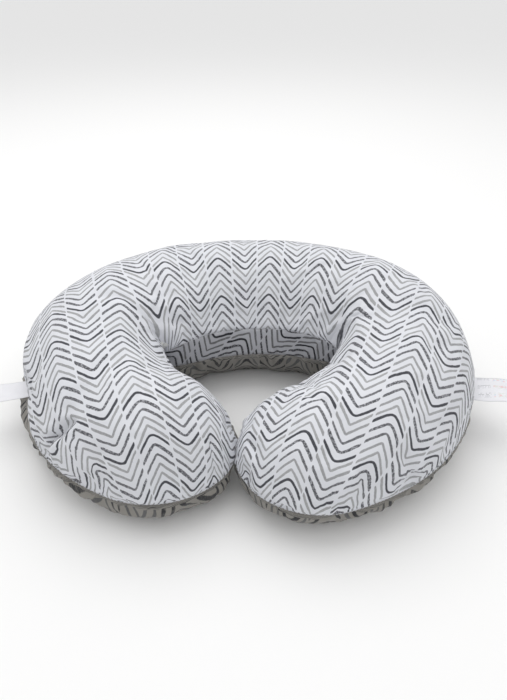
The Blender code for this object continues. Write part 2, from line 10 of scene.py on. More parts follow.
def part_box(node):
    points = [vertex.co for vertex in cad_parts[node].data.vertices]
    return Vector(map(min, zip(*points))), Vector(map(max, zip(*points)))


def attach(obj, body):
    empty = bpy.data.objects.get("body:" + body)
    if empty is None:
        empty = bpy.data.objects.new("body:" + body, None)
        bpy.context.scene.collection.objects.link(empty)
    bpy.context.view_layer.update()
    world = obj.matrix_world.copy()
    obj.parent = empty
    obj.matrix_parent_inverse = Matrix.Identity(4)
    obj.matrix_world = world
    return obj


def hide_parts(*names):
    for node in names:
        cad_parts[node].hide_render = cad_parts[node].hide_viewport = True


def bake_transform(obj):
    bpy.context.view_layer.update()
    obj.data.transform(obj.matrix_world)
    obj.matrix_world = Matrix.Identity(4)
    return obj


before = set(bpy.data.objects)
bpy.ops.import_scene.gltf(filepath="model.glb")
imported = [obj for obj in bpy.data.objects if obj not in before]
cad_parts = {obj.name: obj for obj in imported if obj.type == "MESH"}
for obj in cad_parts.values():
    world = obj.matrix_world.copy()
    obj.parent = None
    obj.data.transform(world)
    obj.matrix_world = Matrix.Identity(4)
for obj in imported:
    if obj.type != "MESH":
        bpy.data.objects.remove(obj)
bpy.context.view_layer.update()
print("frame loaded")

# the camera looks down at the open side, from just above the lap
viewPoint = {
    "place": (0.0023, -0.5009, 0.4724),
    "pitch": 52.10,      # degrees up from straight down
    "lens": 26.14,
}
cameraData = bpy.data.cameras.new("camera")
cameraData.lens = viewPoint["lens"]
cameraData.sensor_width = 36
cameraData.sensor_fit = "AUTO"
cameraData.clip_start = 0.01
camera = bpy.data.objects.new("camera", cameraData)
camera.location = viewPoint["place"]
camera.rotation_euler = (radians(viewPoint["pitch"]), 0, 0)
bpy.context.scene.collection.objects.link(camera)
bpy.context.scene.camera = camera


# ---- small helpers ----
def addObject(name, mesh):
    piece = bpy.data.objects.new(name, mesh)
    bpy.context.scene.collection.objects.link(piece)
    return piece


def meshFrom(name, points, faces, smooth=True):
    mesh = bpy.data.meshes.new(name)
    mesh.from_pydata([tuple(p) for p in points], [], [tuple(int(i) for i in f) for f in faces])
    mesh.validate()
    if smooth:
        mesh.polygons.foreach_set("use_smooth", [True] * len(mesh.polygons))
    return mesh


def readPoints(mesh):
    flat = np.empty(len(mesh.vertices) * 3)
    mesh.vertices.foreach_get("co", flat)
    return flat.reshape(-1, 3)


def writePoints(mesh, points):
    mesh.vertices.foreach_set("co", np.asarray(points, float).ravel())
    mesh.update()


def readNormals(mesh):
    flat = np.empty(len(mesh.vertices) * 3)
    mesh.vertices.foreach_get("normal", flat)
    return flat.reshape(-1, 3)


def applyModifiers(piece):
    graph = bpy.context.evaluated_depsgraph_get()
    done = bpy.data.meshes.new_from_object(piece.evaluated_get(graph), depsgraph=graph)
    old = piece.data
    piece.modifiers.clear()
    piece.data = done
    bpy.data.meshes.remove(old)


def smoothStep(low, high, x):
    t = np.clip((x - low) / (high - low), 0, 1)
    return t * t * (3 - 2 * t)


def hump(x, at, spread):
    # one at the middle, falling to nothing at the spread
    return np.cos(pi / 2 * np.clip(np.abs(x - at) / spread, 0, 1)) ** 2


def throughKnots(values, t):
    # a smooth curve through equally spaced values, t from 0 to 1
    values = np.asarray(values, float)
    q = np.clip(t, 0, 1) * (len(values) - 1)
    i = np.minimum(q.astype(int), len(values) - 2)
    f = q - i
    slope = np.gradient(values)
    return ((2 * f**3 - 3 * f**2 + 1) * values[i] + (f**3 - 2 * f**2 + f) * slope[i]
            + (3 * f**2 - 2 * f**3) * values[i + 1] + (f**3 - f**2) * slope[i + 1])


def softNoise(points, size, seed):
    # a few random plane waves, smooth and the same on every run
    draw = np.random.default_rng(seed)
    total = np.zeros(len(points))
    for _ in range(9):
        way = draw.normal(size=3)
        way /= np.linalg.norm(way)
        total += np.sin(points @ way * (2 * pi / size) * draw.uniform(0.7, 1.4) + draw.uniform(0, 2 * pi))
    return total / 4.0


# ---- the pillow's shape ----
# plan of the tube's middle line, and its cross sections, left end to right end
tube = {
    "leftHalfX": 0.2004, "rightHalfX": 0.2032, "halfY": 0.1317,
    "leftTurnIn": 0.101, "rightTurnIn": 0.1046,
    "leftEnd": 146.8, "rightEnd": 156.5,
    "leftRound": 1.085, "rightRound": 1.10,
    "leftRelief": 0.020, "rightRelief": 0.011,
    "reliefAt": 80, "reliefSpread": 42,
    "easeSteps": 60, "easeFrom": 100, "easeTo": 125,
    "relaxSteps": 70, "relaxFrom": (22, 45), "relaxTo": (122, 95),
    "halfWidths": [0.0868, 0.0899, 0.0990, 0.0993, 0.0938, 0.0866, 0.0831, 0.0869, 0.0849],
    "heights": [0.1342, 0.1567, 0.1675, 0.1634, 0.1228],
    "crown": 1.763,
    # at the inner corners the stuffing fills the section out, more at the left one
    "leftCornerFill": 1.5, "rightCornerFill": 0.9, "cornerAt": 76, "cornerSpread": 56,
    # the seam is drawn in and the under panel bulges out below it
    "seamDraw": 0.0012, "drawFrom": 0.70, "drawFromBelow": 0.6, "freeBelow": 0.004,
    "underBulge": 0.0006, "innerShare": 0.35, "lobeBulge": 0.0045, "lobeFrom": 120, "lobeTo": 146,
    "hair": 1e-9,   # the puckers settle elsewhere without even this much
    "leftSag": 0.011, "leftSagAt": -97, "leftSagSpread": 25, "leftSagDraw": 0.012,
    # and the arms bulge over the corners of the opening
    "leftCornerBulge": 0.026, "rightCornerBulge": 0.017, "bulgeAt": 62, "bulgeSpread": 40,
    # the fronts of both arms are blunter than round
    "leftBlunt": 0.0095, "rightBlunt": 0.0055, "bluntFrom": 0.135, "bluntTo": 0.215,
    "seamHeight": 0.0565, "endSeamHeight": 0.045, "endFrom": 0.68,
    "floorPress": 1.2,
    "bandHeight": 0.036, "bandFull": 40, "bandEnd": 110, "bandTip": 0.010,
    "shift": (-0.00457, -0.01195),
    # the zip lies in the back of the seam, on a circle that the slider follows
    "zipCentre": (-0.00457, -0.12202), "zipRadius": 0.3334,
    "zipHalf": 53.5, "zipFade": 10, "zipGap": 0.0062,
}
density = {"along": 132, "cap": 26, "topRings": 26, "bottomRings": 20, "bandRows": 5}


def bySide(side, what):
    # the left value where side is below nothing, otherwise the right one
    return np.where(side < 0, tube["left" + what], tube["right" + what])


def middlePoint(phi):
    s, c = np.sin(phi), np.cos(phi)
    forward = (np.sqrt(c * c + 0.25) - c) / 2
    x = bySide(phi, "HalfX") * s * (1 - bySide(phi, "TurnIn") * (1 - np.cos(2 * phi)) * forward)
    return np.stack([x + tube["shift"][0], tube["halfY"] * c + tube["shift"][1]], -1)


def middleWay(phi):
    way = middlePoint(phi + 1e-4) - middlePoint(phi - 1e-4)
    return way / np.linalg.norm(way, axis=-1)[..., None]


def sectionSizes(phi):
    # half width, crest height, seam height and inner relief at an angle round the tube
    degrees = np.degrees(phi)
    t = 0.5 + 0.5 * degrees / bySide(phi, "End")
    width = throughKnots(tube["halfWidths"], t)
    height = throughKnots(tube["heights"], t)
    share = np.abs(t - 0.5) * 2
    lower = np.clip((share - tube["endFrom"]) / (1 - tube["endFrom"]), 0, 1)
    seam = tube["seamHeight"] + (tube["endSeamHeight"] - tube["seamHeight"]) * lower
    relief = bySide(phi, "Relief") * hump(np.abs(degrees), tube["reliefAt"], tube["reliefSpread"])
    return width, height, seam, relief


def loopStations():
    # once round the pillow: outside left to right, right end, inside back, left end
    n, k = density["along"], density["cap"]
    phis = np.linspace(-radians(tube["leftEnd"]), radians(tube["rightEnd"]), n)
    turn = pi * np.arange(1, k) / k
    phi = np.concatenate([phis, np.full(k - 1, phis[-1]), phis[::-1], np.full(k - 1, phis[0])])
    angle = np.concatenate([np.zeros(n), turn, np.full(n, pi), pi + turn])
    return phi, angle


def stationReach(phi, angle):
    # plan direction and distance from the middle line out to the seam
    way = middleWay(phi)
    out = np.stack([-way[:, 1], way[:, 0]], -1)
    width, height, seam, relief = sectionSizes(phi)
    inner = np.isclose(angle, pi)
    reach = out * np.cos(angle)[:, None] + way * (np.sin(angle) * bySide(phi, "Round"))[:, None]
    return reach * (width - np.where(inner, relief, 0))[:, None], height, seam


def bandTop(phi, angle):
    degrees = np.abs(np.degrees(phi))
    fade = 1 - smoothStep(tube["bandFull"], tube["bandEnd"], degrees)
    high = tube["bandTip"] * smoothStep(tube["bandEnd"] + 8, tube["bandEnd"] - 6, degrees)
    high = high + (tube["bandHeight"] - tube["bandTip"]) * fade
    return np.where(np.isclose(angle, pi), high, 0)


def zipGap(phi, angle):
    degrees = np.abs(np.degrees(phi))
    gap = tube["zipGap"] * smoothStep(tube["zipHalf"] + 1.5, tube["zipHalf"] - 1.5, degrees)
    return np.where(np.isclose(angle, 0), gap, 0)


def zipBed(phi, angle, points, across):
    # draws the cloth beside the zip in to the circle of the zip
    degrees = np.abs(np.degrees(phi))
    near = smoothStep(tube["zipHalf"] + tube["zipFade"], tube["zipHalf"], degrees)
    near = near * np.isclose(angle, 0) * smoothStep(0.72, 0.985, across)
    away = points - np.array(tube["zipCentre"])
    far = np.linalg.norm(away, axis=1)
    return points + away / far[:, None] * ((tube["zipRadius"] - far) * near)[:, None]


def crownPower(phi, angle):
    fill = bySide(phi, "CornerFill") * hump(np.abs(np.degrees(phi)), tube["cornerAt"], tube["cornerSpread"])
    return tube["crown"] + np.where(np.isclose(angle, pi), fill, 0)


def crownHeight(across, n):
    # the section's height at a share of its half width; it reads the same the other way round
    return np.maximum(1 - np.clip(across, 0, 1) ** n, 0) ** (1 / n)


def cornerBulge(phi, angle, across):
    most = bySide(phi, "CornerBulge") * hump(np.abs(np.degrees(phi)), tube["bulgeAt"], tube["bulgeSpread"])
    share = np.arcsin(np.clip(across, 0, 1)) / (pi / 2)
    return np.where(np.isclose(angle, pi), most, 0) * np.sin(pi * np.clip((share - 0.25) / 0.75, 0, 1))


def easeCorners(phi, plan, across):
    # lets the cloth run smoothly round the corners of the opening
    first = density["along"] + density["cap"] - 1
    inner = slice(first, first + density["along"])
    eased = plan[inner].copy()
    for _ in range(tube["easeSteps"]):
        eased[1:-1] = (eased[:-2] + 2 * eased[1:-1] + eased[2:]) / 4
    share = smoothStep(0.1, 0.6, across[inner])
    share = share * smoothStep(tube["easeTo"], tube["easeFrom"], np.abs(np.degrees(phi[inner])))
    plan[inner] += (eased - plan[inner]) * share[:, None]
    return plan


def relaxCorners(phi, points, fabric):
    # evens out the cloth over the corners of the opening, and the print with it
    first, top = density["along"] + density["cap"] - 1, density["topRings"]
    inner = slice(first, first + density["along"])
    sheet = np.stack([np.column_stack([points[r][inner], fabric[r][inner]]) for r in range(top + 1)])
    degrees = np.abs(np.degrees(phi[inner]))
    near = smoothStep(*tube["relaxFrom"], degrees) * smoothStep(*tube["relaxTo"], degrees)
    share = smoothStep(0, 8, np.arange(top + 1.0))[1:-1, None, None] * near[None, 1:-1, None]
    for _ in range(tube["relaxSteps"]):
        along = (sheet[1:-1, :-2] + sheet[1:-1, 2:]) / 2
        across = (sheet[:-2, 1:-1] + sheet[2:, 1:-1]) / 2
        sheet[1:-1, 1:-1] += (0.7 * along + 0.3 * across - sheet[1:-1, 1:-1]) * share
    for r in range(top + 1):
        points[r][inner] = sheet[r, :, :3]
        fabric[r][inner] = sheet[r, :, 3:]


def leftSag(phi, angle):
    near = hump(np.degrees(phi), tube["leftSagAt"], tube["leftSagSpread"])
    return np.where(np.isclose(angle, 0), near, 0)


# ---- the flat pattern that the print follows ----
# the cloth was cut as a more open C than the stuffed tube, so the print swings inward on both arms
pattern = {
    "leftOpening": 17.5, "rightOpening": 25.6,   # degrees that the cut is more open than the tube
    "openFrom": -10, "openTo": 60,
    "quietLine": 0.0137,                         # where the length along the tube didn't change
    "innerSqueeze": 0.9,
}


def flatMiddle(phi):
    # the middle line on the flat cloth: its points, and the way out from it
    fine = np.linspace(-radians(tube["leftEnd"]), radians(tube["rightEnd"]), 1200)
    way = middleWay(fine)
    steps = np.linalg.norm(np.diff(middlePoint(fine), axis=0), axis=1)
    turned = np.unwrap(np.arctan2(way[:, 1], way[:, 0]))
    degrees = np.degrees(fine)
    opening = np.radians(np.where(fine > 0, pattern["rightOpening"], pattern["leftOpening"])
                         * smoothStep(pattern["openFrom"], pattern["openTo"], np.abs(degrees)))
    flatTurn = turned + np.sign(fine) * opening
    steps = steps + pattern["quietLine"] * np.abs(np.diff(opening))
    middleTurn = (flatTurn[1:] + flatTurn[:-1]) / 2
    x = np.concatenate([[0], np.cumsum(np.cos(middleTurn) * steps)])
    y = np.concatenate([[0], np.cumsum(np.sin(middleTurn) * steps)])
    x = x - np.interp(0, fine, x) + tube["shift"][0]
    y = y - np.interp(0, fine, y) + tube["halfY"] + tube["shift"][1]
    bend = np.gradient(flatTurn) / np.maximum(np.gradient(np.concatenate([[0], np.cumsum(steps)])), 1e-9)
    at = [np.interp(phi, fine, v) for v in (x, y, flatTurn, bend)]
    return np.stack(at[:2], -1), at[2], -at[3]


def sectionRun(width, rise, across, power):
    # distance over the cloth from the crest to a point part way across the section
    fine = np.sin(np.linspace(0, pi / 2, 200))
    x = fine[None, :] * width[:, None]
    z = crownHeight(fine[None, :], power[:, None]) * rise[:, None]
    run = np.concatenate([np.zeros((len(width), 1)),
                          np.cumsum(np.hypot(np.diff(x), np.diff(z)), axis=1)], axis=1)
    return np.stack([np.interp(a, fine, r) for a, r in zip(across, run)])


def flatPlace(phi, angle, run):
    # where a point of the stuffed tube lay on the flat cloth; run is its distance from the crest
    middle, turn, bend = flatMiddle(phi)
    along = np.stack([np.cos(turn), np.sin(turn)], -1)
    out = np.stack([-along[:, 1], along[:, 0]], -1)
    way = out * np.cos(angle)[:, None] + along * np.sin(angle)[:, None]
    room = pattern["innerSqueeze"] / np.maximum(bend, 1.5)
    squeezed = run / (1 + (run / room[:, None]) ** 4) ** 0.25
    inner = np.isclose(angle, pi)
    run = np.where(inner[:, None], squeezed, run)
    return middle[:, None, :] + way[:, None, :] * run[..., None]


# ---- the cover, first as one closed shell ----
def coverShell():
    phi, angle = loopStations()
    reach, crest, seam = stationReach(phi, angle)
    middle = middlePoint(phi)
    width = np.linalg.norm(reach, axis=1)
    band = bandTop(phi, angle)
    gap = zipGap(phi, angle)
    edge = np.maximum(band, gap)
    power = crownPower(phi, angle)
    topEdge = crownHeight(edge / (crest - seam), power)
    sag = leftSag(phi, angle)
    free = 1 - edge / np.maximum(edge, tube["freeBelow"])
    drawIn = tube["seamDraw"] + tube["leftSagDraw"] * sag
    outward = reach / width[:, None]
    points, fabric = [], []

    def addRing(across, high, place, bulge=None):
        draw = bulge
        if bulge is None:
            draw = cornerBulge(phi, angle, across) - drawIn * smoothStep(tube["drawFrom"], 1.0, across) * free
        plan = middle + reach * across[:, None] + outward * draw[:, None]
        plan = easeCorners(phi, plan, across)
        front = smoothStep(tube["bluntFrom"], tube["bluntTo"], -plan[:, 1])
        plan[:, 1] += bySide(plan[:, 0], "Blunt") * front
        plan = zipBed(phi, angle, plan, across)
        points.append(np.column_stack([plan, high]))
        fabric.append(place)

    rings = density["topRings"]
    acrossTop = np.stack([np.sin(np.linspace(0, 1, rings + 1) * np.arcsin(e)) for e in topEdge])
    run = sectionRun(width, crest - seam, acrossTop, power)
    place = flatPlace(phi, angle, run)
    for i in range(rings + 1):
        addRing(acrossTop[:, i], seam + (crest - seam) * crownHeight(acrossTop[:, i], power), place[:, i])
    relaxCorners(phi, points, fabric)

    # the rows of the band inside and of the zip outside, from the upper edge down to the lower one
    rows = density["bandRows"]
    for i in range(1, rows + 1):
        high = edge - (edge + gap) * i / rows
        across = crownHeight(np.maximum(high, 0) / (crest - seam), power)
        addRing(across, seam + high, place[:, -1])

    inner = np.isclose(angle, pi)
    lower = density["bottomRings"]
    start = np.arccos(gap / (tube["floorPress"] * seam)) / (pi / 2)
    for t in np.linspace(1, 0, lower + 1)[1:]:
        across = np.sin(t * start * pi / 2)
        high = np.maximum(seam - tube["floorPress"] * seam * np.cos(t * start * pi / 2), 0)
        bump = np.sin(pi * np.clip((1 - t) * 2, 0, 1)) * np.where(inner, tube["innerShare"], 1.0)
        drawn = -drawIn * free * smoothStep(tube["drawFromBelow"], 1.0, t)
        lobe = smoothStep(tube["lobeFrom"], tube["lobeTo"], -np.degrees(phi)) * tube["lobeBulge"]
        addRing(across, high, middle + reach * across[:, None],
                drawn + bump * (tube["underBulge"] + lobe + tube["leftSag"] * sag) + tube["hair"])
    return phi, points, fabric


def buildCover():
    phi, rings, fabric = coverShell()
    count = len(phi)
    side, cap = density["along"], density["cap"]
    total = len(rings)
    points = np.concatenate(rings)
    cloth = np.concatenate(fabric)
    # the crest is one line shared by both sides: weld inner stations to outer ones there
    remap = np.arange(len(points))
    innerStart = side + cap - 1
    for base in (0, (total - 1) * count):
        for j in range(side):
            remap[base + innerStart + j] = base + side - 1 - j
        for j in range(cap - 1):
            remap[base + side + j] = base + side - 1
            remap[base + innerStart + side + j] = base
    top, rows = density["topRings"], density["bandRows"]
    angle = loopStations()[1]
    banded = np.maximum(bandTop(phi, angle), zipGap(phi, angle)) > 1e-6
    for r in range(top + 1, top + rows + 1):
        for j in range(count):
            if not banded[j]:
                remap[r * count + j] = top * count + j
    faces, panel = [], []
    for r in range(total - 1):
        which = 0 if r < top else (1 if r < top + rows else 2)
        for j in range(count):
            k = (j + 1) % count
            corners = [r * count + j, r * count + k, (r + 1) * count + k, (r + 1) * count + j]
            loop = []
            for c in corners:
                if not loop or remap[c] != remap[loop[-1]]:
                    loop.append(c)
            if remap[loop[0]] == remap[loop[-1]]:
                loop.pop()
            if len(set(remap[loop])) < 3:
                continue
            faces.append(loop)
            panel.append(3 if which == 1 and j < side + cap else which)
    used = np.unique(remap[np.concatenate([np.array(f) for f in faces])])
    place = np.full(len(points), -1)
    place[used] = np.arange(len(used))
    mesh = meshFrom("cover", points[used], [[place[remap[c]] for c in f] for f in faces])
    # the print's place for every face corner, in metres of flat cloth
    around = np.concatenate([[0], np.cumsum(np.linalg.norm(np.diff(rings[top], axis=0), axis=1))])
    bandTurn = radians(bandPrint["turn"])
    layer = mesh.uv_layers.new(name="clothPlace")
    flat = []
    for f, which in zip(faces, panel):
        for c in f:
            if which == 1:
                j = c % count
                a, h = around[j], points[c][2]
                flat.append((a * cos(bandTurn) - h * sin(bandTurn), a * sin(bandTurn) + h * cos(bandTurn)))
            else:
                flat.append(cloth[c])
    layer.data.foreach_set("uv", (np.array(flat) * 10).ravel())
    mesh.polygons.foreach_set("material_index", panel)
    return mesh


bandPrint = {"turn": -35}
coverMesh = buildCover()
cover = addObject("cover", coverMesh)
print("cover shell:", len(coverMesh.vertices), "points")


# ---- stuffing the cover ----
stuffing = {"pressure": 3.0, "slackCloth": 0.07, "frames": 26, "mostMove": 0.006, "stiffness": 20,
            "bending": 0.02, "mass": 0.25, "quality": 6, "smoothing": 40}


def fillOut(piece, held):
    # the cloth is a little too big for its seams, and the pressure inside pushes it into puckers
    mesh = piece.data
    group = piece.vertex_groups.new(name="held")
    for i, weight in enumerate(held):
        group.add([i], float(weight), "REPLACE")
    cloth = piece.modifiers.new("cloth", "CLOTH")
    rule = cloth.settings
    rule.quality = stuffing["quality"]
    rule.mass = stuffing["mass"]
    rule.tension_stiffness = rule.compression_stiffness = stuffing["stiffness"]
    rule.shear_stiffness = stuffing["stiffness"] / 2
    rule.bending_stiffness = stuffing["bending"]
    rule.vertex_group_mass = "held"
    rule.use_pressure = True
    rule.uniform_pressure_force = stuffing["pressure"]
    rule.shrink_min = -stuffing["slackCloth"]
    rule.effector_weights.gravity = 0
    cloth.point_cache.frame_start = 1
    cloth.point_cache.frame_end = stuffing["frames"]
    scene = bpy.context.scene
    for f in range(1, stuffing["frames"] + 1):
        scene.frame_set(f)
    graph = bpy.context.evaluated_depsgraph_get()
    moved = readPoints(piece.evaluated_get(graph).data)
    base = readPoints(mesh)
    step = moved - base
    # the swelling as a whole is already in the shape, so only the puckers are kept
    edges = np.array([tuple(e.vertices) for e in mesh.edges])
    count = np.bincount(edges.ravel(), minlength=len(base))[:, None]
    whole = step.copy()
    for _ in range(stuffing["smoothing"]):
        total = np.zeros_like(whole)
        np.add.at(total, edges[:, 0], whole[edges[:, 1]])
        np.add.at(total, edges[:, 1], whole[edges[:, 0]])
        whole = 0.5 * whole + 0.5 * total / count
    step = (step - whole) * (1 - np.array(held))[:, None]
    length = np.linalg.norm(step, axis=1)
    print("puckers up to", round(float(length.max()) * 1000, 1), "mm")
    limit = stuffing["mostMove"]
    step *= (limit * np.tanh(length / limit) / np.maximum(length, 1e-9))[:, None]
    piece.modifiers.clear()
    piece.vertex_groups.clear()
    scene.frame_set(1)
    base = base + step
    base[:, 2] = np.maximum(base[:, 2], 0.0)
    writePoints(mesh, base)


def seamWeights(mesh):
    # stitched places and the patch on the floor keep still
    kinds = {}
    for face in mesh.polygons:
        for v in face.vertices:
            kinds.setdefault(v, set()).add(face.material_index)
    points = readPoints(mesh)
    held = np.array([1.0 if len(kinds[v]) > 1 or kinds[v] & {1, 3} else 0.0 for v in range(len(points))])
    held[points[:, 2] < 1e-4] = 1.0
    return held


fillOut(cover, seamWeights(coverMesh))
print("cover filled out")


# ---- node helpers ----
def newMaterial(name):
    material = bpy.data.materials.new(name)
    material.use_nodes = True
    tree = material.node_tree
    shader = next(n for n in tree.nodes if n.type == "BSDF_PRINCIPLED")
    return material, tree, shader


def feed(tree, socket, value):
    if isinstance(value, bpy.types.NodeSocket):
        tree.links.new(value, socket)
    else:
        socket.default_value = value


def calc(tree, kind, *values):
    node = tree.nodes.new("ShaderNodeMath")
    node.operation = kind
    for socket, value in zip(node.inputs, values):
        feed(tree, socket, value)
    return node.outputs[0]


def sums(tree):
    # plus, minus, times and over for one node tree
    def of(kind):
        return lambda *values: calc(tree, kind, *values)
    return of("ADD"), of("SUBTRACT"), of("MULTIPLY"), of("DIVIDE")


def easeBetween(tree, value, low, high, fromLow=0.0, toHigh=1.0):
    node = tree.nodes.new("ShaderNodeMapRange")
    node.interpolation_type = "SMOOTHSTEP"
    for name, v in (("Value", value), ("From Min", low), ("From Max", high),
                    ("To Min", fromLow), ("To Max", toHigh)):
        feed(tree, node.inputs[name], v)
    return node.outputs[0]


def noiseAt(tree, where, scale, detail=2.0, rough=0.5):
    node = tree.nodes.new("ShaderNodeTexNoise")
    feed(tree, node.inputs["Vector"], where)
    node.inputs["Scale"].default_value = scale
    node.inputs["Detail"].default_value = detail
    node.inputs["Roughness"].default_value = rough
    return node.outputs[0]


def blendColours(tree, amount, first, second):
    node = tree.nodes.new("ShaderNodeMix")
    node.data_type = "RGBA"
    feed(tree, node.inputs["Factor"], amount)
    feed(tree, node.inputs["A"], first)
    feed(tree, node.inputs["B"], second)
    return node.outputs["Result"]


def bumped(tree, height, strength, distance, under=None):
    node = tree.nodes.new("ShaderNodeBump")
    node.inputs["Strength"].default_value = strength
    node.inputs["Distance"].default_value = distance
    feed(tree, node.inputs["Height"], height)
    if under:
        feed(tree, node.inputs["Normal"], under)
    return node.outputs[0]


def partsOf(tree, vector):
    node = tree.nodes.new("ShaderNodeSeparateXYZ")
    tree.links.new(vector, node.inputs[0])
    return node.outputs


def ownPlace(tree):
    return tree.nodes.new("ShaderNodeTexCoord").outputs["Object"]


def clothMillimetres(tree):
    # the place on the flat cloth, from decimetres to millimetres
    place = tree.nodes.new("ShaderNodeUVMap")
    place.uv_map = "clothPlace"
    larger = tree.nodes.new("ShaderNodeMapping")
    larger.inputs["Scale"].default_value = (100, 100, 1)
    tree.links.new(place.outputs[0], larger.inputs["Vector"])
    return larger.outputs[0]


def whiteNoise(tree, x, y):
    # a separate draw for every whole x and y
    node = tree.nodes.new("ShaderNodeTexWhiteNoise")
    node.noise_dimensions = "2D"
    tree.links.new(joinedVector(tree, x, y), node.inputs["Vector"])
    return node.outputs["Value"]


def joinedVector(tree, x, y, z=0.0):
    node = tree.nodes.new("ShaderNodeCombineXYZ")
    for socket, value in zip(node.inputs, (x, y, z)):
        feed(tree, socket, value)
    return node.outputs[0]


# ---- the printed cotton ----
# columns of hand-drawn arrowheads, one column up and the next one down; lengths in millimetres
printing = {
    "columnWidth": 36.8, "columnStart": -10.7,
    "repeat": 50.7, "upStart": 25.1, "downStart": 8.8,
    "turn": -1.7,                    # degrees between the print and the pillow's front to back line
    "slope": 1.06, "gap": 1.9,
    "weights": [1.28, 1.34, 1.22, 1.22, 1.22],   # half thickness of the five strokes
    "roundness": [4.4, 3.0, 1.8, 0.7, 0.7],
    "inks": [(0.060, 0.062, 0.074), (0.092, 0.094, 0.106), (0.128, 0.130, 0.142),
             (0.345, 0.350, 0.360), (0.385, 0.390, 0.400)],
    "ground": (0.800, 0.812, 0.860),
    "turnAbout": (0.0, 120.0),
    "warpStep": 0.62, "weftStep": 0.58,
}


def cottonMaterial(name, ground=None, paintedInkShade=1.0):
    material, tree, shader = newMaterial(name)
    plus, minus, times, over = sums(tree)
    nodes, links = tree.nodes, tree.links
    millimetres = clothMillimetres(tree)
    parts = partsOf(tree, millimetres)
    a = radians(printing["turn"])
    x0, y0 = printing["turnAbout"]
    dx = minus(parts[0], x0)
    dy = minus(parts[1], y0)
    across = minus(times(dx, cos(a)), times(dy, sin(a)))
    along = plus(times(dx, sin(a)), times(dy, cos(a)))

    # a slow wander and a quick shake, as from a hand-held brush
    wander = minus(noiseAt(tree, millimetres, 0.035, 1.0), 0.5)
    shake = minus(noiseAt(tree, millimetres, 0.16, 2.0), 0.5)
    wide = printing["columnWidth"]
    place = plus(over(minus(across, printing["columnStart"]), wide), 0.5)
    place = plus(place, times(wander, 0.07))
    column = calc(tree, "FLOOR", place)
    up = calc(tree, "FLOORED_MODULO", column, 2.0)            # 1 in columns that point up
    offCentre = times(minus(minus(place, column), 0.5), wide)
    sign = minus(times(up, 2.0), 1.0)
    offCentre = times(offCentre, sign)
    start = plus(printing["downStart"], times(up, printing["upStart"] - printing["downStart"]))
    level = times(minus(along, start), sign)
    level = plus(level, times(shake, 1.6))

    def arm(roundness):
        root = calc(tree, "SQRT", plus(times(offCentre, offCentre), times(roundness, roundness)))
        return minus(root, roundness), root

    def byStroke(number, values):
        ramp = nodes.new("ShaderNodeValToRGB")
        ramp.color_ramp.interpolation = "CONSTANT"
        while len(ramp.color_ramp.elements) < 5:
            ramp.color_ramp.elements.new(0.5)
        for i, value in enumerate(values):
            ramp.color_ramp.elements[i].position = i / 5
            shade = value if isinstance(value, tuple) else (value,) * 3
            ramp.color_ramp.elements[i].color = (*shade, 1)
        feed(tree, ramp.inputs[0], over(plus(number, 0.5), 5.0))
        return ramp.outputs[0]

    step = printing["repeat"] / 5
    slope = printing["slope"]

    def strokeNumber(bend):
        run = over(plus(level, times(bend, slope)), -step)
        whole = calc(tree, "FLOOR", plus(run, 0.5))
        return run, whole, calc(tree, "FLOORED_MODULO", whole, 5.0)

    bend, _ = arm(2.5)
    _, _, number = strokeNumber(bend)
    roundness = times(byStroke(number, [r / 10 for r in printing["roundness"]]), 10.0)
    bend, root = arm(roundness)
    run, whole, number = strokeNumber(bend)
    steep = times(over(offCentre, root), slope)
    upright = calc(tree, "SQRT", plus(times(steep, steep), 1.0))
    aside = over(times(minus(run, whole), step), upright)

    # every stroke its own draw of length, weight and ink
    chance = minus(whiteNoise(tree, column, whole), 0.5)
    tip = plus(wide / 2 - printing["gap"] / 2 - 1.0, times(chance, 1.6))
    past = times(calc(tree, "MAXIMUM", minus(calc(tree, "ABSOLUTE", offCentre), tip), 0.0), 1.35)
    distance = calc(tree, "SQRT", plus(times(aside, aside), times(past, past)))

    brushed = byStroke(number, [0.12, 1.0, 0.55, 0.3, 0.3])
    bristle = noiseAt(tree, millimetres, 0.75, 4.0, 0.7)
    heavy = easeBetween(tree, offCentre, 0.0, 8.0, 0.0, 0.35)
    weight = plus(times(byStroke(number, [w / 2 for w in printing["weights"]]), 2.0),
                  times(heavy, brushed))
    weight = plus(weight, times(chance, 0.25))
    ragged = times(minus(bristle, 0.5), plus(times(brushed, 1.5), 0.25))
    edge = minus(plus(distance, ragged), weight)
    inked = easeBetween(tree, edge, -0.28, 0.28, 1.0, 0.0)
    patchy = easeBetween(tree, noiseAt(tree, millimetres, 0.45, 3.0, 0.65), 0.36, 0.56)
    thin = minus(1.0, times(minus(1.0, patchy), times(brushed, 0.45)))
    inked = times(inked, thin)

    # the cloth: paler and darker patches, and single threads a shade apart
    groundColour = ground or printing["ground"]
    darker = tuple(c * 0.95 for c in groundColour)
    slub = noiseAt(tree, millimetres, 0.02, 3.0)
    paper = blendColours(tree, slub, (*darker, 1), (*groundColour, 1))
    # the ink multiplier darkens the inks as painted shade on the band and under panel; it is 1 on the top
    inks = byStroke(number, [tuple(c * paintedInkShade for c in ink) for ink in printing["inks"]])
    colour = blendColours(tree, inked, paper, inks)
    warp = calc(tree, "SINE", times(parts[0], 2 * pi / printing["warpStep"]))
    weft = calc(tree, "SINE", times(parts[1], 2 * pi / printing["weftStep"]))
    weave = times(warp, weft)
    threads = easeBetween(tree, weave, -1.0, 1.0, 0.95, 1.0)
    tinted = nodes.new("ShaderNodeMix")
    tinted.data_type = "RGBA"
    tinted.blend_type = "MULTIPLY"
    tinted.inputs["Factor"].default_value = 1.0
    links.new(colour, tinted.inputs["A"])
    links.new(threads, tinted.inputs["B"])
    links.new(tinted.outputs["Result"], shader.inputs["Base Color"])

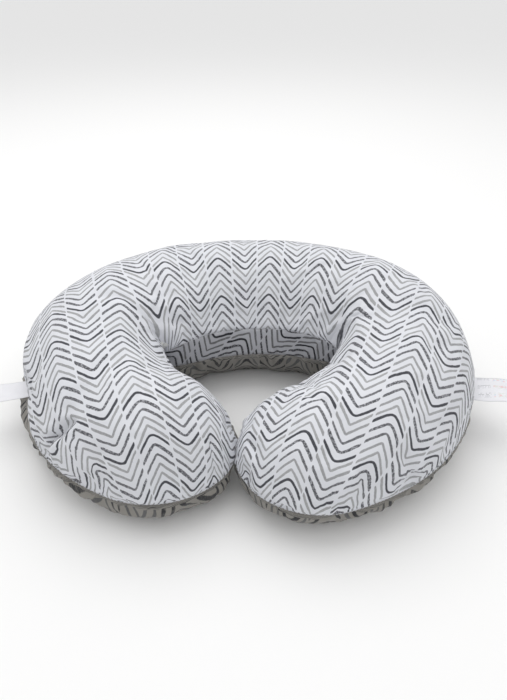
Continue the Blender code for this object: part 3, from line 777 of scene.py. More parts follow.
    shader.inputs["Roughness"].default_value = 0.82
    shader.inputs["Specular IOR Level"].default_value = 0.28
    shader.inputs["Sheen Weight"].default_value = 0.12
    shader.inputs["Sheen Roughness"].default_value = 0.5
    crumple = plus(noiseAt(tree, millimetres, 0.055, 3.0, 0.55),
                   times(noiseAt(tree, millimetres, 0.25, 2.0), 0.18))
    soft = bumped(tree, crumple, 0.35, 0.0030)
    feed(tree, shader.inputs["Normal"], bumped(tree, weave, 0.35, 0.00012, soft))
    return material


topCotton = cottonMaterial("printedCottonTop")
# painted shade: the band is the top's cotton with a darker ground and darker ink, standing in for the shade
# it lies in under the overhanging top panel
bandCottonPaintedShade = cottonMaterial("printedCottonBandPaintedShade", ground=(0.50, 0.505, 0.54), paintedInkShade=0.40)
# painted shade: the under panel is the top's cotton too, with a darker, warmer ground and darker ink,
# standing in for the shade near the floor
underCottonPaintedShade = cottonMaterial("printedCottonUnderPaintedShade", ground=(0.29, 0.278, 0.255), paintedInkShade=0.30)
print("print mixed")


# ---- the panels of the cover ----
def takePanel(source, which, name, material):
    work = bmesh.new()
    work.from_mesh(source)
    bmesh.ops.delete(work, geom=[f for f in work.faces if f.material_index not in which], context="FACES")
    for face in work.faces:
        face.material_index = 0
    mesh = bpy.data.meshes.new(name)
    work.to_mesh(mesh)
    work.free()
    mesh.materials.append(material)
    piece = addObject(name, mesh)
    finer = piece.modifiers.new("finer", "SUBSURF")
    finer.levels = finer.render_levels = 1
    finer.use_limit_surface = False
    applyModifiers(piece)
    return piece


topPanel = takePanel(coverMesh, {0}, "topPanel", topCotton)
innerBand = takePanel(coverMesh, {1}, "innerBand", bandCottonPaintedShade)
bottomPanel = takePanel(coverMesh, {2}, "bottomPanel", underCottonPaintedShade)
print("panels parted")

# folds that the eye picks out: paths over the cloth, in metres
folds = {
    "backCrease": {"path": [(-0.152, 0.100, 0.158), (-0.128, 0.059, 0.156), (-0.107, 0.042, 0.141),
                            (-0.084, 0.032, 0.122), (-0.055, 0.025, 0.095)],
                   "deep": 0.0030, "wide": 0.0035, "lip": 0.0016, "gathers": 0.0011, "gatherStep": 0.0085,
                   "swallow": 0.0032},
    "sidePinch": {"path": [(-0.214, -0.146, 0.060), (-0.205, -0.149, 0.083), (-0.194, -0.150, 0.093),
                           (-0.184, -0.147, 0.104), (-0.171, -0.148, 0.112)],
                  "deep": 0.0100, "wide": 0.0036, "lip": 0.0028, "gathers": 0.0010, "gatherStep": 0.008,
                  "swallow": 0.006},
    "frontTuck": {"path": [(-0.070, -0.178, 0.107), (-0.081, -0.192, 0.090), (-0.090, -0.206, 0.068),
                           (-0.097, -0.212, 0.049)],
                  "deep": 0.0016, "wide": 0.0016, "lip": 0.0007, "gathers": 0, "gatherStep": 0.01,
                  "swallow": 0.0032},
    "cornerTuck": {"path": [(-0.135, -0.173, 0.108), (-0.146, -0.178, 0.096), (-0.163, -0.190, 0.063),
                            (-0.171, -0.189, 0.046)],
                   "deep": 0.0022, "wide": 0.0020, "lip": 0.0010, "gathers": 0.0004, "gatherStep": 0.01,
                   "swallow": 0.0032},
    "lobeFold": {"path": [(-0.040, -0.148, 0.100), (-0.037, -0.158, 0.089), (-0.034, -0.170, 0.073),
                          (-0.032, -0.180, 0.050)],
                 "deep": 0.0045, "wide": 0.0030, "lip": 0.0020, "gathers": 0, "gatherStep": 0.01,
                 "swallow": 0.005},
    "leftRidge": {"path": [(-0.268, -0.020, 0.094), (-0.255, -0.060, 0.098), (-0.237, -0.090, 0.096),
                           (-0.222, -0.118, 0.088), (-0.214, -0.140, 0.070)],
                  "deep": 0.0040, "wide": 0.0045, "lip": 0.0022, "gathers": 0.0008, "gatherStep": 0.009,
                  "swallow": 0.0032},
    "rightLobeTuckA": {"path": [(0.080, -0.203, 0.088), (0.074, -0.211, 0.071), (0.063, -0.218, 0.052)],
                       "deep": 0.0030, "wide": 0.0028, "lip": 0.0018, "gathers": 0, "gatherStep": 0.01,
                       "swallow": 0.0032},
    "rightLobeTuckB": {"path": [(0.103, -0.190, 0.092), (0.107, -0.198, 0.081), (0.118, -0.209, 0.050)],
                       "deep": 0.0035, "wide": 0.0035, "lip": 0.0020, "gathers": 0, "gatherStep": 0.01,
                       "swallow": 0.004},
    "rightLobeTuckC": {"path": [(0.145, -0.170, 0.097), (0.154, -0.179, 0.080), (0.172, -0.181, 0.050)],
                       "deep": 0.0030, "wide": 0.0035, "lip": 0.0018, "gathers": 0, "gatherStep": 0.01,
                       "swallow": 0.0032},
}


def alongPath(points, path):
    # nearest place on a path of straight pieces: distance, distance along it, offset and its direction
    best = np.full(len(points), 9.0)
    run = np.zeros(len(points))
    offset = np.zeros((len(points), 3))
    way = np.zeros((len(points), 3))
    done = 0.0
    path = np.array(path)
    for a, b in zip(path[:-1], path[1:]):
        span = b - a
        length = np.linalg.norm(span)
        t = np.clip((points - a) @ span / length**2, 0, 1)
        off = points - (a + t[:, None] * span)
        far = np.linalg.norm(off, axis=1)
        near = far < best
        best[near] = far[near]
        run[near] = done + t[near] * length
        offset[near] = off[near]
        way[near] = span / length
        done += length
    return best, run, offset, way, done


def smoothPath(path, steps=6):
    path = np.array(path)
    t = np.linspace(0, 1, (len(path) - 1) * steps + 1)
    return np.stack([throughKnots(path[:, i], t) for i in range(3)], -1)


# the run of every fold: where it fades in and out, how far off its lips and gathers lie, in its own widths
foldShape = {"fadeIn": 0.30, "fadeOut": 0.72, "atEnds": 0.1, "reach": 0.006, "farFrom": 0.06, "farFade": 80,
             "lipAt": 2.4, "lipWide": 1.3, "gatherWide": 3.2, "swallowWide": 0.6, "swallowReach": 0.030}


def foldCloth(piece, fold, reach=foldShape["reach"]):
    points = readPoints(piece.data)
    normals = readNormals(piece.data)
    far, run, offset, way, total = alongPath(points, smoothPath(fold["path"]))
    shape = foldShape
    ends = smoothStep(0, shape["fadeIn"] * total, run) * smoothStep(total, shape["fadeOut"] * total, run)
    ends = ends * (1 - shape["atEnds"]) + shape["atEnds"]
    ends = ends * np.exp(-np.maximum(far - shape["farFrom"], 0) * shape["farFade"])
    sideways = np.cross(normals, way)
    sideways /= np.maximum(np.linalg.norm(sideways, axis=1), 1e-9)[:, None]
    aside = np.einsum("ij,ij->i", offset, sideways)
    beyond = np.sqrt(np.maximum(far**2 - aside**2, 0))
    ends = ends * np.exp(-(beyond / reach) ** 2)
    wide = fold["wide"]
    valley = -fold["deep"] * np.exp(-(aside / wide) ** 2)
    lips = fold["lip"] * np.exp(-((np.abs(aside) - shape["lipAt"] * wide) / (shape["lipWide"] * wide)) ** 2)
    ripple = fold["gathers"] * np.sin(run * 2 * pi / fold["gatherStep"])
    ripple = ripple * np.exp(-(aside / (shape["gatherWide"] * wide)) ** 2)
    move = (valley + lips + ripple) * ends
    writePoints(piece.data, points + normals * move[:, None])
    # the cloth that went into the fold is missing from the print
    hidden = fold["swallow"] * np.tanh(aside / (shape["swallowWide"] * wide)) * ends
    return hidden * np.exp(-np.abs(aside) / shape["swallowReach"]), sideways


def shiftPrint(piece, moves):
    # moves the print over the cloth by a length in space, through each face's own cloth axes
    mesh = piece.data
    layer = mesh.uv_layers["clothPlace"]
    flat = np.empty(len(layer.data) * 2)
    layer.data.foreach_get("uv", flat)
    flat = flat.reshape(-1, 2)
    corner = np.empty(len(mesh.loops), int)
    mesh.loops.foreach_get("vertex_index", corner)
    start = np.empty(len(mesh.polygons), int)
    mesh.polygons.foreach_get("loop_start", start)
    points = readPoints(mesh)
    a, b, c = corner[start], corner[start + 1], corner[start + 2]
    e1, e2 = points[b] - points[a], points[c] - points[a]
    u1, u2 = flat[start + 1] - flat[start], flat[start + 2] - flat[start]
    normal = np.cross(e1, e2)
    area = np.maximum(np.einsum("ij,ij->i", normal, normal), 1e-18)[:, None]
    g1, g2 = np.cross(e2, normal) / area, np.cross(normal, e1) / area
    gradU = g1 * u1[:, :1] + g2 * u2[:, :1]
    gradV = g1 * u1[:, 1:] + g2 * u2[:, 1:]
    total = np.zeros((len(points), 6))
    count = np.zeros(len(points))
    for i in range(3):
        np.add.at(total, corner[start + i], np.hstack([gradU, gradV]))
        np.add.at(count, corner[start + i], 1)
    total /= np.maximum(count, 1)[:, None]
    du = np.einsum("ij,ij->i", total[:, :3], moves)
    dv = np.einsum("ij,ij->i", total[:, 3:], moves)
    flat += np.stack([du, dv], -1)[corner]
    layer.data.foreach_set("uv", flat.ravel())


# short gathers that run in from the seams
gathers = {
    "step": 0.017, "reach": 0.024, "top": 0.0024, "under": 0.0026, "band": 0.0018,
    "looseEvery": 0.11, "slowSway": 0.067, "quickSway": 0.113, "quickStep": 0.61, "seamStep": 0.0015,
    "sameSeam": 0.02, "betweenSeams": 0.05,
}


def seamPath(source, kinds):
    # the ordered line of edges between panels
    work = bmesh.new()
    work.from_mesh(source)
    lines = []
    for edge in work.edges:
        found = {f.material_index for f in edge.link_faces}
        if len(found) > 1 and found <= kinds:
            lines.append([tuple(v.co) for v in edge.verts])
    work.free()
    return lines


def gatherCloth(piece, tree, runs, amount, seed):
    points = readPoints(piece.data)
    normals = readNormals(piece.data)
    far = np.empty(len(points))
    run = np.empty(len(points))
    for i, p in enumerate(points):
        _, k, far[i] = tree.find(p)
        run[i] = runs[k]
    step = gathers["step"]
    line = np.column_stack([run, run * 0 + seed, run * 0])
    loose = 0.35 + 0.65 * np.clip(softNoise(line, gathers["looseEvery"], seed) + 0.5, 0, 1.4)
    sway = 1.4 * np.sin(run * 2 * pi / gathers["slowSway"])
    wave = np.sin(run * 2 * pi / step + sway) * 0.6
    sway = 2.0 * np.sin(run * 2 * pi / gathers["quickSway"] + seed)
    wave += np.sin(run * 2 * pi / (step * gathers["quickStep"]) + sway) * 0.4
    fade = np.exp(-(far / gathers["reach"]) ** 1.3) * smoothStep(0, 0.003, far)
    flatOn = smoothStep(0.0, 0.012, points[:, 2])
    writePoints(piece.data, points + normals * (wave * loose * fade * amount * flatOn)[:, None])


def seamRuns(lines):
    # every seam point with its distance along the seam
    ends = {}
    for a, b in lines:
        for p, q in ((a, b), (b, a)):
            ends.setdefault(tuple(np.round(p, 7)), []).append(tuple(np.round(q, 7)))
    left = set(ends)
    points, runs, total = [], [], 0.0
    while left:
        ordered = sorted(left)
        here = next((p for p in ordered if len(ends[p]) == 1), ordered[0])
        before = None
        while here is not None:
            left.discard(here)
            if before is not None:
                total += float(np.linalg.norm(np.subtract(here, before)))
            points.append(here)
            runs.append(total)
            before, here = here, next((q for q in ends[here] if q in left), None)
        total += gathers["betweenSeams"]
    return points, runs


def pointTree(points):
    tree = kdtree.KDTree(len(points))
    for i, p in enumerate(points):
        tree.insert(p, i)
    tree.balance()
    return tree


def denser(points, runs):
    newPoints, newRuns = [points[0]], [runs[0]]
    for (p, q), (r, t) in zip(zip(points[:-1], points[1:]), zip(runs[:-1], runs[1:])):
        if np.linalg.norm(np.subtract(q, p)) < gathers["sameSeam"]:
            n = max(1, int((t - r) / gathers["seamStep"]))
            for k in range(1, n + 1):
                newPoints.append(tuple(np.add(np.multiply(p, 1 - k / n), np.multiply(q, k / n))))
                newRuns.append(r + (t - r) * k / n)
        else:
            newPoints.append(q)
            newRuns.append(t)
    return newPoints, newRuns


mainSeam, mainRuns = denser(*seamRuns(seamPath(coverMesh, {0, 2})))
bandSeam, bandRuns = denser(*seamRuns(seamPath(coverMesh, {0, 1})))
allSeam, allRuns = denser(*seamRuns(seamPath(coverMesh, {0, 1, 2, 3})))
seamTree = pointTree(allSeam)
gatherCloth(topPanel, seamTree, allRuns, gathers["top"], 3)
gatherCloth(bottomPanel, seamTree, allRuns, gathers["under"], 5)
gatherCloth(innerBand, seamTree, allRuns, gathers["band"], 8)
for fold in folds.values():
    for piece in (topPanel, bottomPanel):
        hidden, sideways = foldCloth(piece, fold)
        if piece is topPanel:
            shiftPrint(piece, sideways * hidden[:, None])
print("folds laid")


def thicken(piece, thick):
    # cloth of real thickness, inside the face that shows
    shell = piece.modifiers.new("thick", "SOLIDIFY")
    shell.thickness = thick
    shell.offset = -1
    applyModifiers(piece)


# the case and the filling under the cover
lining = {"case": 0.0052, "filling": 0.0110, "caseThick": 0.0006,
          "clothThick": 0.0008, "foldReach": 0.030, "caseClear": 0.0032, "fillingClear": 0.0060,
          "lumps": 0.0008, "lumpSize": 0.05}


def insideCopy(source, which, name, depth, material):
    piece = takePanel(source, which, name, material)
    mesh = piece.data
    points, normals = readPoints(mesh), readNormals(mesh)
    writePoints(mesh, points - normals * depth)
    return piece


def plainCloth(name, colour, thread, rough=0.85):
    material, tree, shader = newMaterial(name)
    place = ownPlace(tree)
    slub = noiseAt(tree, place, 60, 4.0)
    darker = tuple(c * 0.86 for c in colour)
    feed(tree, shader.inputs["Base Color"], blendColours(tree, slub, (*darker, 1), (*colour, 1)))
    shader.inputs["Roughness"].default_value = rough
    feed(tree, shader.inputs["Normal"], bumped(tree, noiseAt(tree, place, 1 / thread), 0.4, 0.0002))
    return material


caseCloth = plainCloth("caseCloth", (0.78, 0.78, 0.76), 0.0012)
fibreFill = plainCloth("fibreFill", (0.86, 0.86, 0.85), 0.004, 0.95)
caseTop = insideCopy(coverMesh, {0, 1, 3}, "caseTop", lining["case"], caseCloth)
caseBottom = insideCopy(coverMesh, {2}, "caseBottom", lining["case"], caseCloth)
filling = insideCopy(coverMesh, {0, 1, 2, 3}, "filling", lining["filling"], fibreFill)
for piece in (caseBottom, filling):
    lifted = readPoints(piece.data)
    depth = lining["case"] if piece is caseBottom else lining["filling"]
    lifted[:, 2] = np.maximum(lifted[:, 2], depth)
    writePoints(piece.data, lifted)
fibres = readPoints(filling.data)
sunk = lining["lumps"] * (1 + softNoise(fibres, lining["lumpSize"], 21))
writePoints(filling.data, fibres - readNormals(filling.data) * sunk[:, None])


def keepInside(piece, depth):
    # nothing of the lining may stand out through the cover
    graph = bpy.context.evaluated_depsgraph_get()
    cloths = [BVHTree.FromObject(cloth, graph) for cloth in (topPanel, bottomPanel, innerBand)]
    points = readPoints(piece.data)
    for _ in range(2):
        for i, p in enumerate(points):
            near = min((c.find_nearest(Vector(p)) for c in cloths), key=lambda hit: hit[3])
            if (Vector(p) - near[0]).dot(near[1]) > -0.5 * depth:
                points[i] = near[0] - near[1] * depth
    writePoints(piece.data, points)


for piece, depth in ((caseTop, lining["caseClear"]), (caseBottom, lining["caseClear"]),
                     (filling, lining["fillingClear"])):
    for fold in folds.values():
        foldCloth(piece, fold, lining["foldReach"])
    keepInside(piece, depth)
for piece in (caseTop, caseBottom):
    thicken(piece, lining["caseThick"])
for piece in (topPanel, bottomPanel, innerBand):
    thicken(piece, lining["clothThick"])
print("case and filling inside")


# ---- zip ----
zipper = {
    "toothStep": 0.0019, "halfDegrees": 40.4, "tapeBeyond": 1.2, "tapeThick": 0.0005,
    "radius": 0.33445, "centre": tube["zipCentre"], "seam": tube["seamHeight"],
    "tapeFrom": 0.0004, "tapeHalf": 0.0095, "tapeBack": 0.0012, "tapeLean": 0.0028,
    # each tooth: its height from the seam and its fatness there, and its two half widths
    "toothLevels": [(0.0007, 0.55), (0.0012, 0.9), (0.0021, 1.0), (0.0027, 0.6)],
    "toothDeep": 0.00065, "toothWide": 0.00055,
}


def addBead(points, faces, rings, turned):
    # one rounded bead from rings of points, closed at both ends; turned when the rings run the other way
    base, sides, last = len(points), len(rings[0]), len(rings) - 1
    for ring in rings:
        points.extend(ring)

    def put(face):
        faces.append(face[::-1] if turned else face)

    for r in range(last):
        for k in range(sides):
            n = (k + 1) % sides
            here, there = base + r * sides, base + (r + 1) * sides
            put([here + k, here + n, there + n, there + k])
    put([base + k for k in range(sides)][::-1])
    put([base + last * sides + k for k in range(sides)])


def zipTeeth(name, side, material):
    # a spiral of nylon, seen as a row of rounded teeth on one tape
    half = radians(zipper["halfDegrees"])
    count = int(2 * half * zipper["radius"] / zipper["toothStep"])
    points, faces = [], []
    for i in range(count):
        turn = pi / 2 - half + 2 * half * (i + (0.5 if side > 0 else 0.0)) / count
        out = np.array([cos(turn), sin(turn), 0])
        along = np.array([-sin(turn), cos(turn), 0])
        root = np.array([*zipper["centre"], zipper["seam"]]) + out * zipper["radius"]
        rings = []
        for up, fat in zipper["toothLevels"]:
            centre = root + np.array([0, 0, side * up])
            rings.append([centre + out * cos(a) * zipper["toothDeep"] * fat
                          + along * sin(a) * zipper["toothWide"] * fat
                          for a in (2 * pi * k / 6 for k in range(6))])
        addBead(points, faces, rings, side < 0)
    piece = addObject(name, meshFrom(name, points, faces))
    piece.data.materials.append(material)
    return piece


def zipTape(name, side, material):
    # woven tape, from under the teeth to behind the panel's edge
    half = radians(zipper["halfDegrees"] + zipper["tapeBeyond"])
    points, faces = [], []
    cols, rows = 180, 6
    for i in range(cols + 1):
        turn = pi / 2 - half + 2 * half * i / cols
        out = np.array([cos(turn), sin(turn), 0])
        for j in range(rows + 1):
            high = zipper["tapeFrom"] + (zipper["tapeHalf"] - zipper["tapeFrom"]) * j / rows
            back = zipper["tapeBack"] + zipper["tapeLean"] * (j / rows) ** 2
            points.append(np.array([*zipper["centre"], zipper["seam"] + side * high])
                          + out * (zipper["radius"] - back))
    for i in range(cols):
        for j in range(rows):
            a = i * (rows + 1) + j
            quad = [a, a + 1, a + rows + 2, a + rows + 1]
            faces.append(quad if side > 0 else quad[::-1])
    piece = addObject(name, meshFrom(name, points, faces))
    piece.data.materials.append(material)
    thicken(piece, zipper["tapeThick"])
    return piece


def nylonMaterial(name, colour):
    material, tree, shader = newMaterial(name)
    place = ownPlace(tree)
    worn = noiseAt(tree, place, 220, 3.0)
    darker = tuple(c * 0.8 for c in colour)
    feed(tree, shader.inputs["Base Color"], blendColours(tree, worn, (*darker, 1), (*colour, 1)))
    feed(tree, shader.inputs["Roughness"], easeBetween(tree, worn, 0.2, 0.8, 0.32, 0.48))
    return material


def tapeMaterial(name, colour):
    material, tree, shader = newMaterial(name)
    plus, _, times, _ = sums(tree)
    place = ownPlace(tree)
    rib = calc(tree, "SINE", times(partsOf(tree, place)[2], 2 * pi / 0.0011))
    slub = noiseAt(tree, place, 900)
    mixed = plus(times(rib, 0.25), slub)
    darker = tuple(c * 0.75 for c in colour)
    feed(tree, shader.inputs["Base Color"],
         blendColours(tree, easeBetween(tree, mixed, 0.1, 0.9), (*darker, 1), (*colour, 1)))
    shader.inputs["Roughness"].default_value = 0.8
    feed(tree, shader.inputs["Normal"], bumped(tree, mixed, 0.5, 0.0002))
    return material


def metalMaterial(name):
    material, tree, shader = newMaterial(name)
    place = ownPlace(tree)
    worn = noiseAt(tree, place, 400, 4.0, 0.6)
    steel = blendColours(tree, worn, (0.42, 0.43, 0.45, 1), (0.66, 0.67, 0.69, 1))
    feed(tree, shader.inputs["Base Color"], steel)
    shader.inputs["Metallic"].default_value = 1.0
    feed(tree, shader.inputs["Roughness"], easeBetween(tree, worn, 0.3, 0.75, 0.22, 0.42))
    feed(tree, shader.inputs["Normal"], bumped(tree, noiseAt(tree, place, 1500), 0.25, 0.00008))
    return material


zipMetal = metalMaterial("zipMetal")
zipNylon = nylonMaterial("zipNylon", (0.62, 0.62, 0.63))
zipWoven = tapeMaterial("zipWoven", (0.52, 0.51, 0.53))
teethUpper = zipTeeth("zipTeethUpper", 1, zipNylon)
teethLower = zipTeeth("zipTeethLower", -1, zipNylon)
tapeUpper = zipTape("zipTapeUpper", 1, zipWoven)
tapeLower = zipTape("zipTapeLower", -1, zipWoven)
for node in ("zip_slider", "zip_pull_tab", "zip_top_stop_upper", "zip_top_stop_lower", "zip_bottom_stop"):
    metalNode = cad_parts[node]
    metalNode.data.materials.clear()
    metalNode.data.materials.append(zipMetal)
print("zip set in")


# ---- stitches ----
# each stitch: where its rings lie along it, how fat they are and how far they stand out
stitching = {
    "long": 0.0030, "gap": 0.0009, "thick": 0.00035,
    "rings": [(0.0, 0.35, -0.5), (0.25, 1.0, 0.2), (0.75, 1.0, 0.2), (1.0, 0.35, -0.5)],
}
fiveRound = [2 * pi * k / 5 for k in range(5)]


def stitchRow(name, points, runs, material):
    # one small rounded stitch after another along a seam
    pitch = stitching["long"] + stitching["gap"]
    points = np.array(points)
    runs = np.array(runs)
    at = np.arange(runs[0] + pitch, runs[-1] - pitch, pitch)
    meshPoints, faces = [], []
    for a in at:
        ends = [np.array([np.interp(v, runs, points[:, k]) for k in range(3)])
                for v in (a, a + stitching["long"])]
        span = ends[1] - ends[0]
        length = np.linalg.norm(span)
        if not 0.6 * stitching["long"] < length < 1.2 * stitching["long"]:
            continue
        way = span / length
        side = np.cross(way, (0, 0, 1))
        side /= max(np.linalg.norm(side), 1e-9)
        up = np.cross(side, way)
        rings = []
        for t, fat, rise in stitching["rings"]:
            centre = ends[0] + span * t + side * rise * stitching["thick"]
            rings.append([centre + (side * cos(a) + up * sin(a)) * stitching["thick"] * fat
                          for a in fiveRound])
        addBead(meshPoints, faces, rings, True)
    piece = addObject(name, meshFrom(name, meshPoints, faces))
    piece.data.materials.append(material)
    return piece


threadGrey = nylonMaterial("threadGrey", (0.66, 0.67, 0.70))
mainStitches = stitchRow("mainSeamStitches", mainSeam, mainRuns, threadGrey)
bandStitches = stitchRow("bandSeamStitches", bandSeam, bandRuns, threadGrey)


tack = {
    "rows": 11, "thick": 0.0004, "half": 0.0011, "proud": 0.0006, "ends": 0.0001,
    "rings": [(-1, 0.4), (-0.6, 1), (0.6, 1), (1, 0.4)],
}


def barTack(name, node, material):
    # a close zigzag across the end of the zip
    low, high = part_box(node)
    middle = (low + high) / 2
    points, faces = [], []
    away = Vector((middle[0] - zipper["centre"][0], middle[1] - zipper["centre"][1], 0)).normalized()
    along = Vector((-away[1], away[0], 0))
    for i in range(tack["rows"]):
        z = low[2] + (high[2] - low[2]) * (i + 0.5) / tack["rows"]
        rings = []
        for t, fat in tack["rings"]:
            out = tack["proud"] if abs(t) < 1 else tack["ends"]
            centre = Vector((middle[0], middle[1], z)) + along * t * tack["half"] + away * out
            thick = tack["thick"] * fat
            rings.append([centre + away * cos(a) * thick + Vector((0, 0, 1)) * sin(a) * thick
                          for a in fiveRound])
        addBead(points, faces, rings, False)
    piece = addObject(name, meshFrom(name, points, faces))
    piece.data.materials.append(material)
    return piece


tackLeft = barTack("barTackLeft", "bar_tack_left", threadGrey)
tackRight = barTack("barTackRight", "bar_tack_right", threadGrey)
print("stitches sewn")


# ---- label and tag ----
# satin care label at the right, thin film tag at the left; both leave the seam and droop a little
careLabel = {
    "root": (0.26637, -0.04196, 0.0565), "out": -15.441, "long": 0.052, "wide": 0.043,
    "rise": 0.006, "thick": 0.0004, "wave": 0.0012,
}
sideTag = {
    "root": (-0.27454, -0.04403, 0.0565), "out": -163.849, "long": 0.046, "wide": 0.032,
    "rise": 0.0015, "thick": 0.0003, "wave": 0.0010,
}
tucked = 0.006   # how far both reach into the seam


def ribbon(name, label, material):
    out = np.array([cos(radians(label["out"])), sin(radians(label["out"])), 0])
    side = np.array([-out[1], out[0], 0])
    cols, rows = 26, 20
    points, faces, uvs = [], [], []
    for i in range(cols + 1):
        t = i / cols
        reach = -tucked + (label["long"] + tucked) * t
        rise = label["rise"] * smoothStep(0.1, 0.75, t)
        for j in range(rows + 1):
            s = j / rows - 0.5
            curl = label["wave"] * sin(3.1 * t + 5.0 * s) * smoothStep(0.15, 0.5, t)
            curl = curl + 2.2 * label["wave"] * (s * s) * t
            pinch = 1 - 0.05 * (1 - smoothStep(0, 0.4, t))
            points.append(np.array(label["root"]) + out * reach + side * s * label["wide"] * pinch
                          + np.array([0, 0, rise + curl]))
            uvs.append((t * label["long"] * 10, s * label["wide"] * 10))
    for i in range(cols):
        for j in range(rows):
            a = i * (rows + 1) + j
            faces.append([a, a + rows + 1, a + rows + 2, a + 1])
    mesh = meshFrom(name, points, faces)
    layer = mesh.uv_layers.new(name="clothPlace")
    corner = np.empty(len(mesh.loops), int)
    mesh.loops.foreach_get("vertex_index", corner)
    layer.data.foreach_set("uv", np.array(uvs)[corner].ravel())
    mesh.materials.append(material)
    piece = addObject(name, mesh)
    thicken(piece, label["thick"])
    return piece


# millimetres over the satin: rows of small grey marks near the seam, pale patches nearer the free end
satinPrint = {
    "rowStep": 2.3, "markStep": 0.9, "groupStep": 15.0, "marks": (12.0, 25.0), "patches": (27.0, 41.0),
    "patchSize": (3.2, 2.6), "grey": (0.18, 0.18, 0.20), "threadStep": 0.35,
    "tints": [(0.82, 0.50, 0.50), (0.55, 0.65, 0.80), (0.70, 0.75, 0.68), (0.85, 0.72, 0.62)],
}


def labelMaterial(name, printed):
    # white satin; the marks are plain dashes and blobs, no words
    material, tree, shader = newMaterial(name)
    _, minus, times, over = sums(tree)
    place = clothMillimetres(tree)
    x, y, _ = partsOf(tree, place)
    base = blendColours(tree, noiseAt(tree, place, 0.08), (0.80, 0.80, 0.84, 1), (0.87, 0.87, 0.90, 1))

    def whole(value, step):
        return calc(tree, "FLOOR", over(value, step))

    def strip(low, lowEnd, highStart, high):
        return times(easeBetween(tree, x, low, lowEnd), easeBetween(tree, x, highStart, high, 1.0, 0.0))

    if printed:
        offRow = calc(tree, "ABSOLUTE", minus(calc(tree, "FRACT", over(y, satinPrint["rowStep"])), 0.5))
        line = minus(1.0, easeBetween(tree, offRow, 0.10, 0.16))
        mark = whiteNoise(tree, whole(x, satinPrint["markStep"]), whole(y, satinPrint["rowStep"]))
        dash = easeBetween(tree, mark, 0.36, 0.42)
        group = easeBetween(tree, calc(tree, "SINE", times(y, 2 * pi / satinPrint["groupStep"])), -0.1, 0.2)
        low, high = satinPrint["marks"]
        amount = times(times(line, dash), times(group, strip(low, low + 0.6, high - 0.5, high)))
        base = blendColours(tree, times(amount, 0.8), base, (*satinPrint["grey"], 1))
        long, wide = satinPrint["patchSize"]
        patch = whiteNoise(tree, whole(x, long), whole(y, wide))
        ramp = tree.nodes.new("ShaderNodeValToRGB")
        ramp.color_ramp.interpolation = "CONSTANT"
        ramp.color_ramp.elements.new(0.35)
        ramp.color_ramp.elements.new(0.6)
        for element, tint in zip(ramp.color_ramp.elements, satinPrint["tints"]):
            element.color = (*tint, 1)
        tree.links.new(patch, ramp.inputs[0])
        blob = easeBetween(tree, noiseAt(tree, place, 0.35), 0.48, 0.56)
        low, high = satinPrint["patches"]
        amount = times(times(blob, group), times(strip(low, low + 1, high - 1, high), 0.75))
        base = blendColours(tree, amount, base, ramp.outputs[0])
    feed(tree, shader.inputs["Base Color"], base)
    shader.inputs["Roughness"].default_value = 0.42
    shader.inputs["Sheen Weight"].default_value = 0.2
    satin = calc(tree, "SINE", times(y, 2 * pi / satinPrint["threadStep"]))
    feed(tree, shader.inputs["Normal"], bumped(tree, satin, 0.2, 0.00015))
    return material


labelSatin = labelMaterial("labelSatin", True)
tagFilm = labelMaterial("tagFilm", False)
labelPiece = ribbon("careLabel", careLabel, labelSatin)
tagPiece = ribbon("sideTag", sideTag, tagFilm)
print("label and tag sewn in")


# ---- room and light ----
lighting = {
    "roomLow": 0.16, "roomHigh": 1.08,   # light from the sides and from above
    "floor": (0.93, 0.93, 0.93),
    "lamps": {
        "overhead": (12.0, 1.8, (-0.2, 0.7, 1.8), (0, 0, 0), (1.0, 0.995, 0.98)),
        "front": (0.4, 1.4, (0.5, -1.4, 1.1), (0, 0, 0.05), (0.96, 0.98, 1.0)),
    },
}


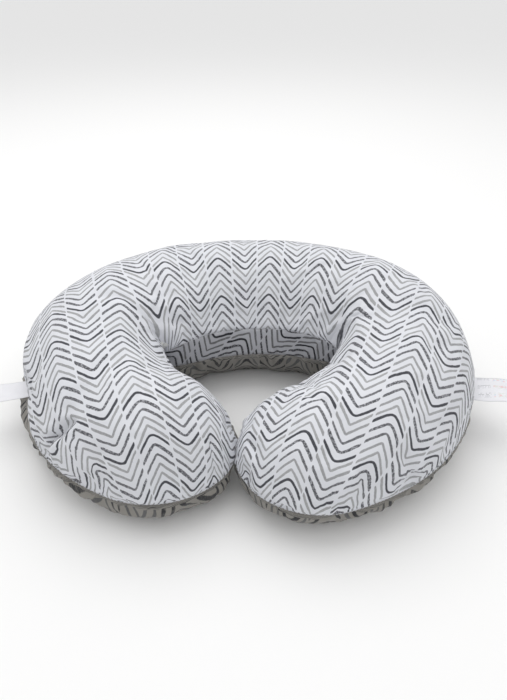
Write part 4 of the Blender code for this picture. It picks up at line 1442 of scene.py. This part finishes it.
def buildRoom():
    size = 40   # metres, far beyond the view
    corners = [(-size, -size, 0), (size, -size, 0), (size, size, 0), (-size, size, 0)]
    floor = addObject("floor", meshFrom("floor", corners, [(0, 1, 2, 3)]))
    material, tree, shader = newMaterial("paleFloor")
    shader.inputs["Base Color"].default_value = (*lighting["floor"], 1)
    shader.inputs["Roughness"].default_value = 0.9
    floor.data.materials.append(material)
    world = bpy.data.worlds.new("softRoom")
    world.use_nodes = True
    tree = world.node_tree
    upward = partsOf(tree, tree.nodes.new("ShaderNodeTexCoord").outputs["Generated"])[2]
    light = easeBetween(tree, upward, 0.0, 0.9, lighting["roomLow"], lighting["roomHigh"])
    tree.nodes["Background"].inputs[0].default_value = (1.0, 1.0, 1.0, 1)
    feed(tree, tree.nodes["Background"].inputs[1], light)
    bpy.context.scene.world = world
    for name, (power, wide, place, aim, tint) in lighting["lamps"].items():
        lamp = bpy.data.lights.new(name, "AREA")
        lamp.energy = power
        lamp.size = wide
        lamp.color = tint
        holder = bpy.data.objects.new(name, lamp)
        holder.location = place
        holder.rotation_euler = (Vector(aim) - Vector(place)).to_track_quat("-Z", "Y").to_euler()
        bpy.context.scene.collection.objects.link(holder)


buildRoom()
bpy.context.scene.view_settings.view_transform = "Standard"

# ---- what each piece stands for ----
bpy.data.objects.remove(cover)
standIns = [
    (topPanel, "printed_cotton", ["cover_top_panel"]),
    (innerBand, "printed_cotton", ["cover_inner_band"]),
    (bottomPanel, "printed_cotton", ["cover_bottom_panel"]),
    (caseTop, "case_cloth", ["case_top_half"]),
    (caseBottom, "case_cloth", ["case_bottom_half"]),
    (filling, "polyester_fibre", ["fibre_filling"]),
    (mainStitches, "sewing_thread", ["main_seam_thread"]),
    (bandStitches, "sewing_thread", ["band_seam_thread"]),
    (tackLeft, "sewing_thread", ["bar_tack_left"]),
    (tackRight, "sewing_thread", ["bar_tack_right"]),
    (teethUpper, "zip_coil_nylon", ["zip_coil_upper"]),
    (teethLower, "zip_coil_nylon", ["zip_coil_lower"]),
    (tapeUpper, "zip_tape_grey", ["zip_tape_upper"]),
    (tapeLower, "zip_tape_grey", ["zip_tape_lower"]),
]
for piece, finish, nodes in standIns:
    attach(piece, "pillow")
    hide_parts(*nodes)

for piece, label, body, node, finish, flat in (
        (labelPiece, careLabel, "label", "care_label", "label_satin", (0.043, 0.058)),
        (tagPiece, sideTag, "tag", "side_tag", "tag_film", (0.032, 0.052))):
    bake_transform(piece)
    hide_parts(node)
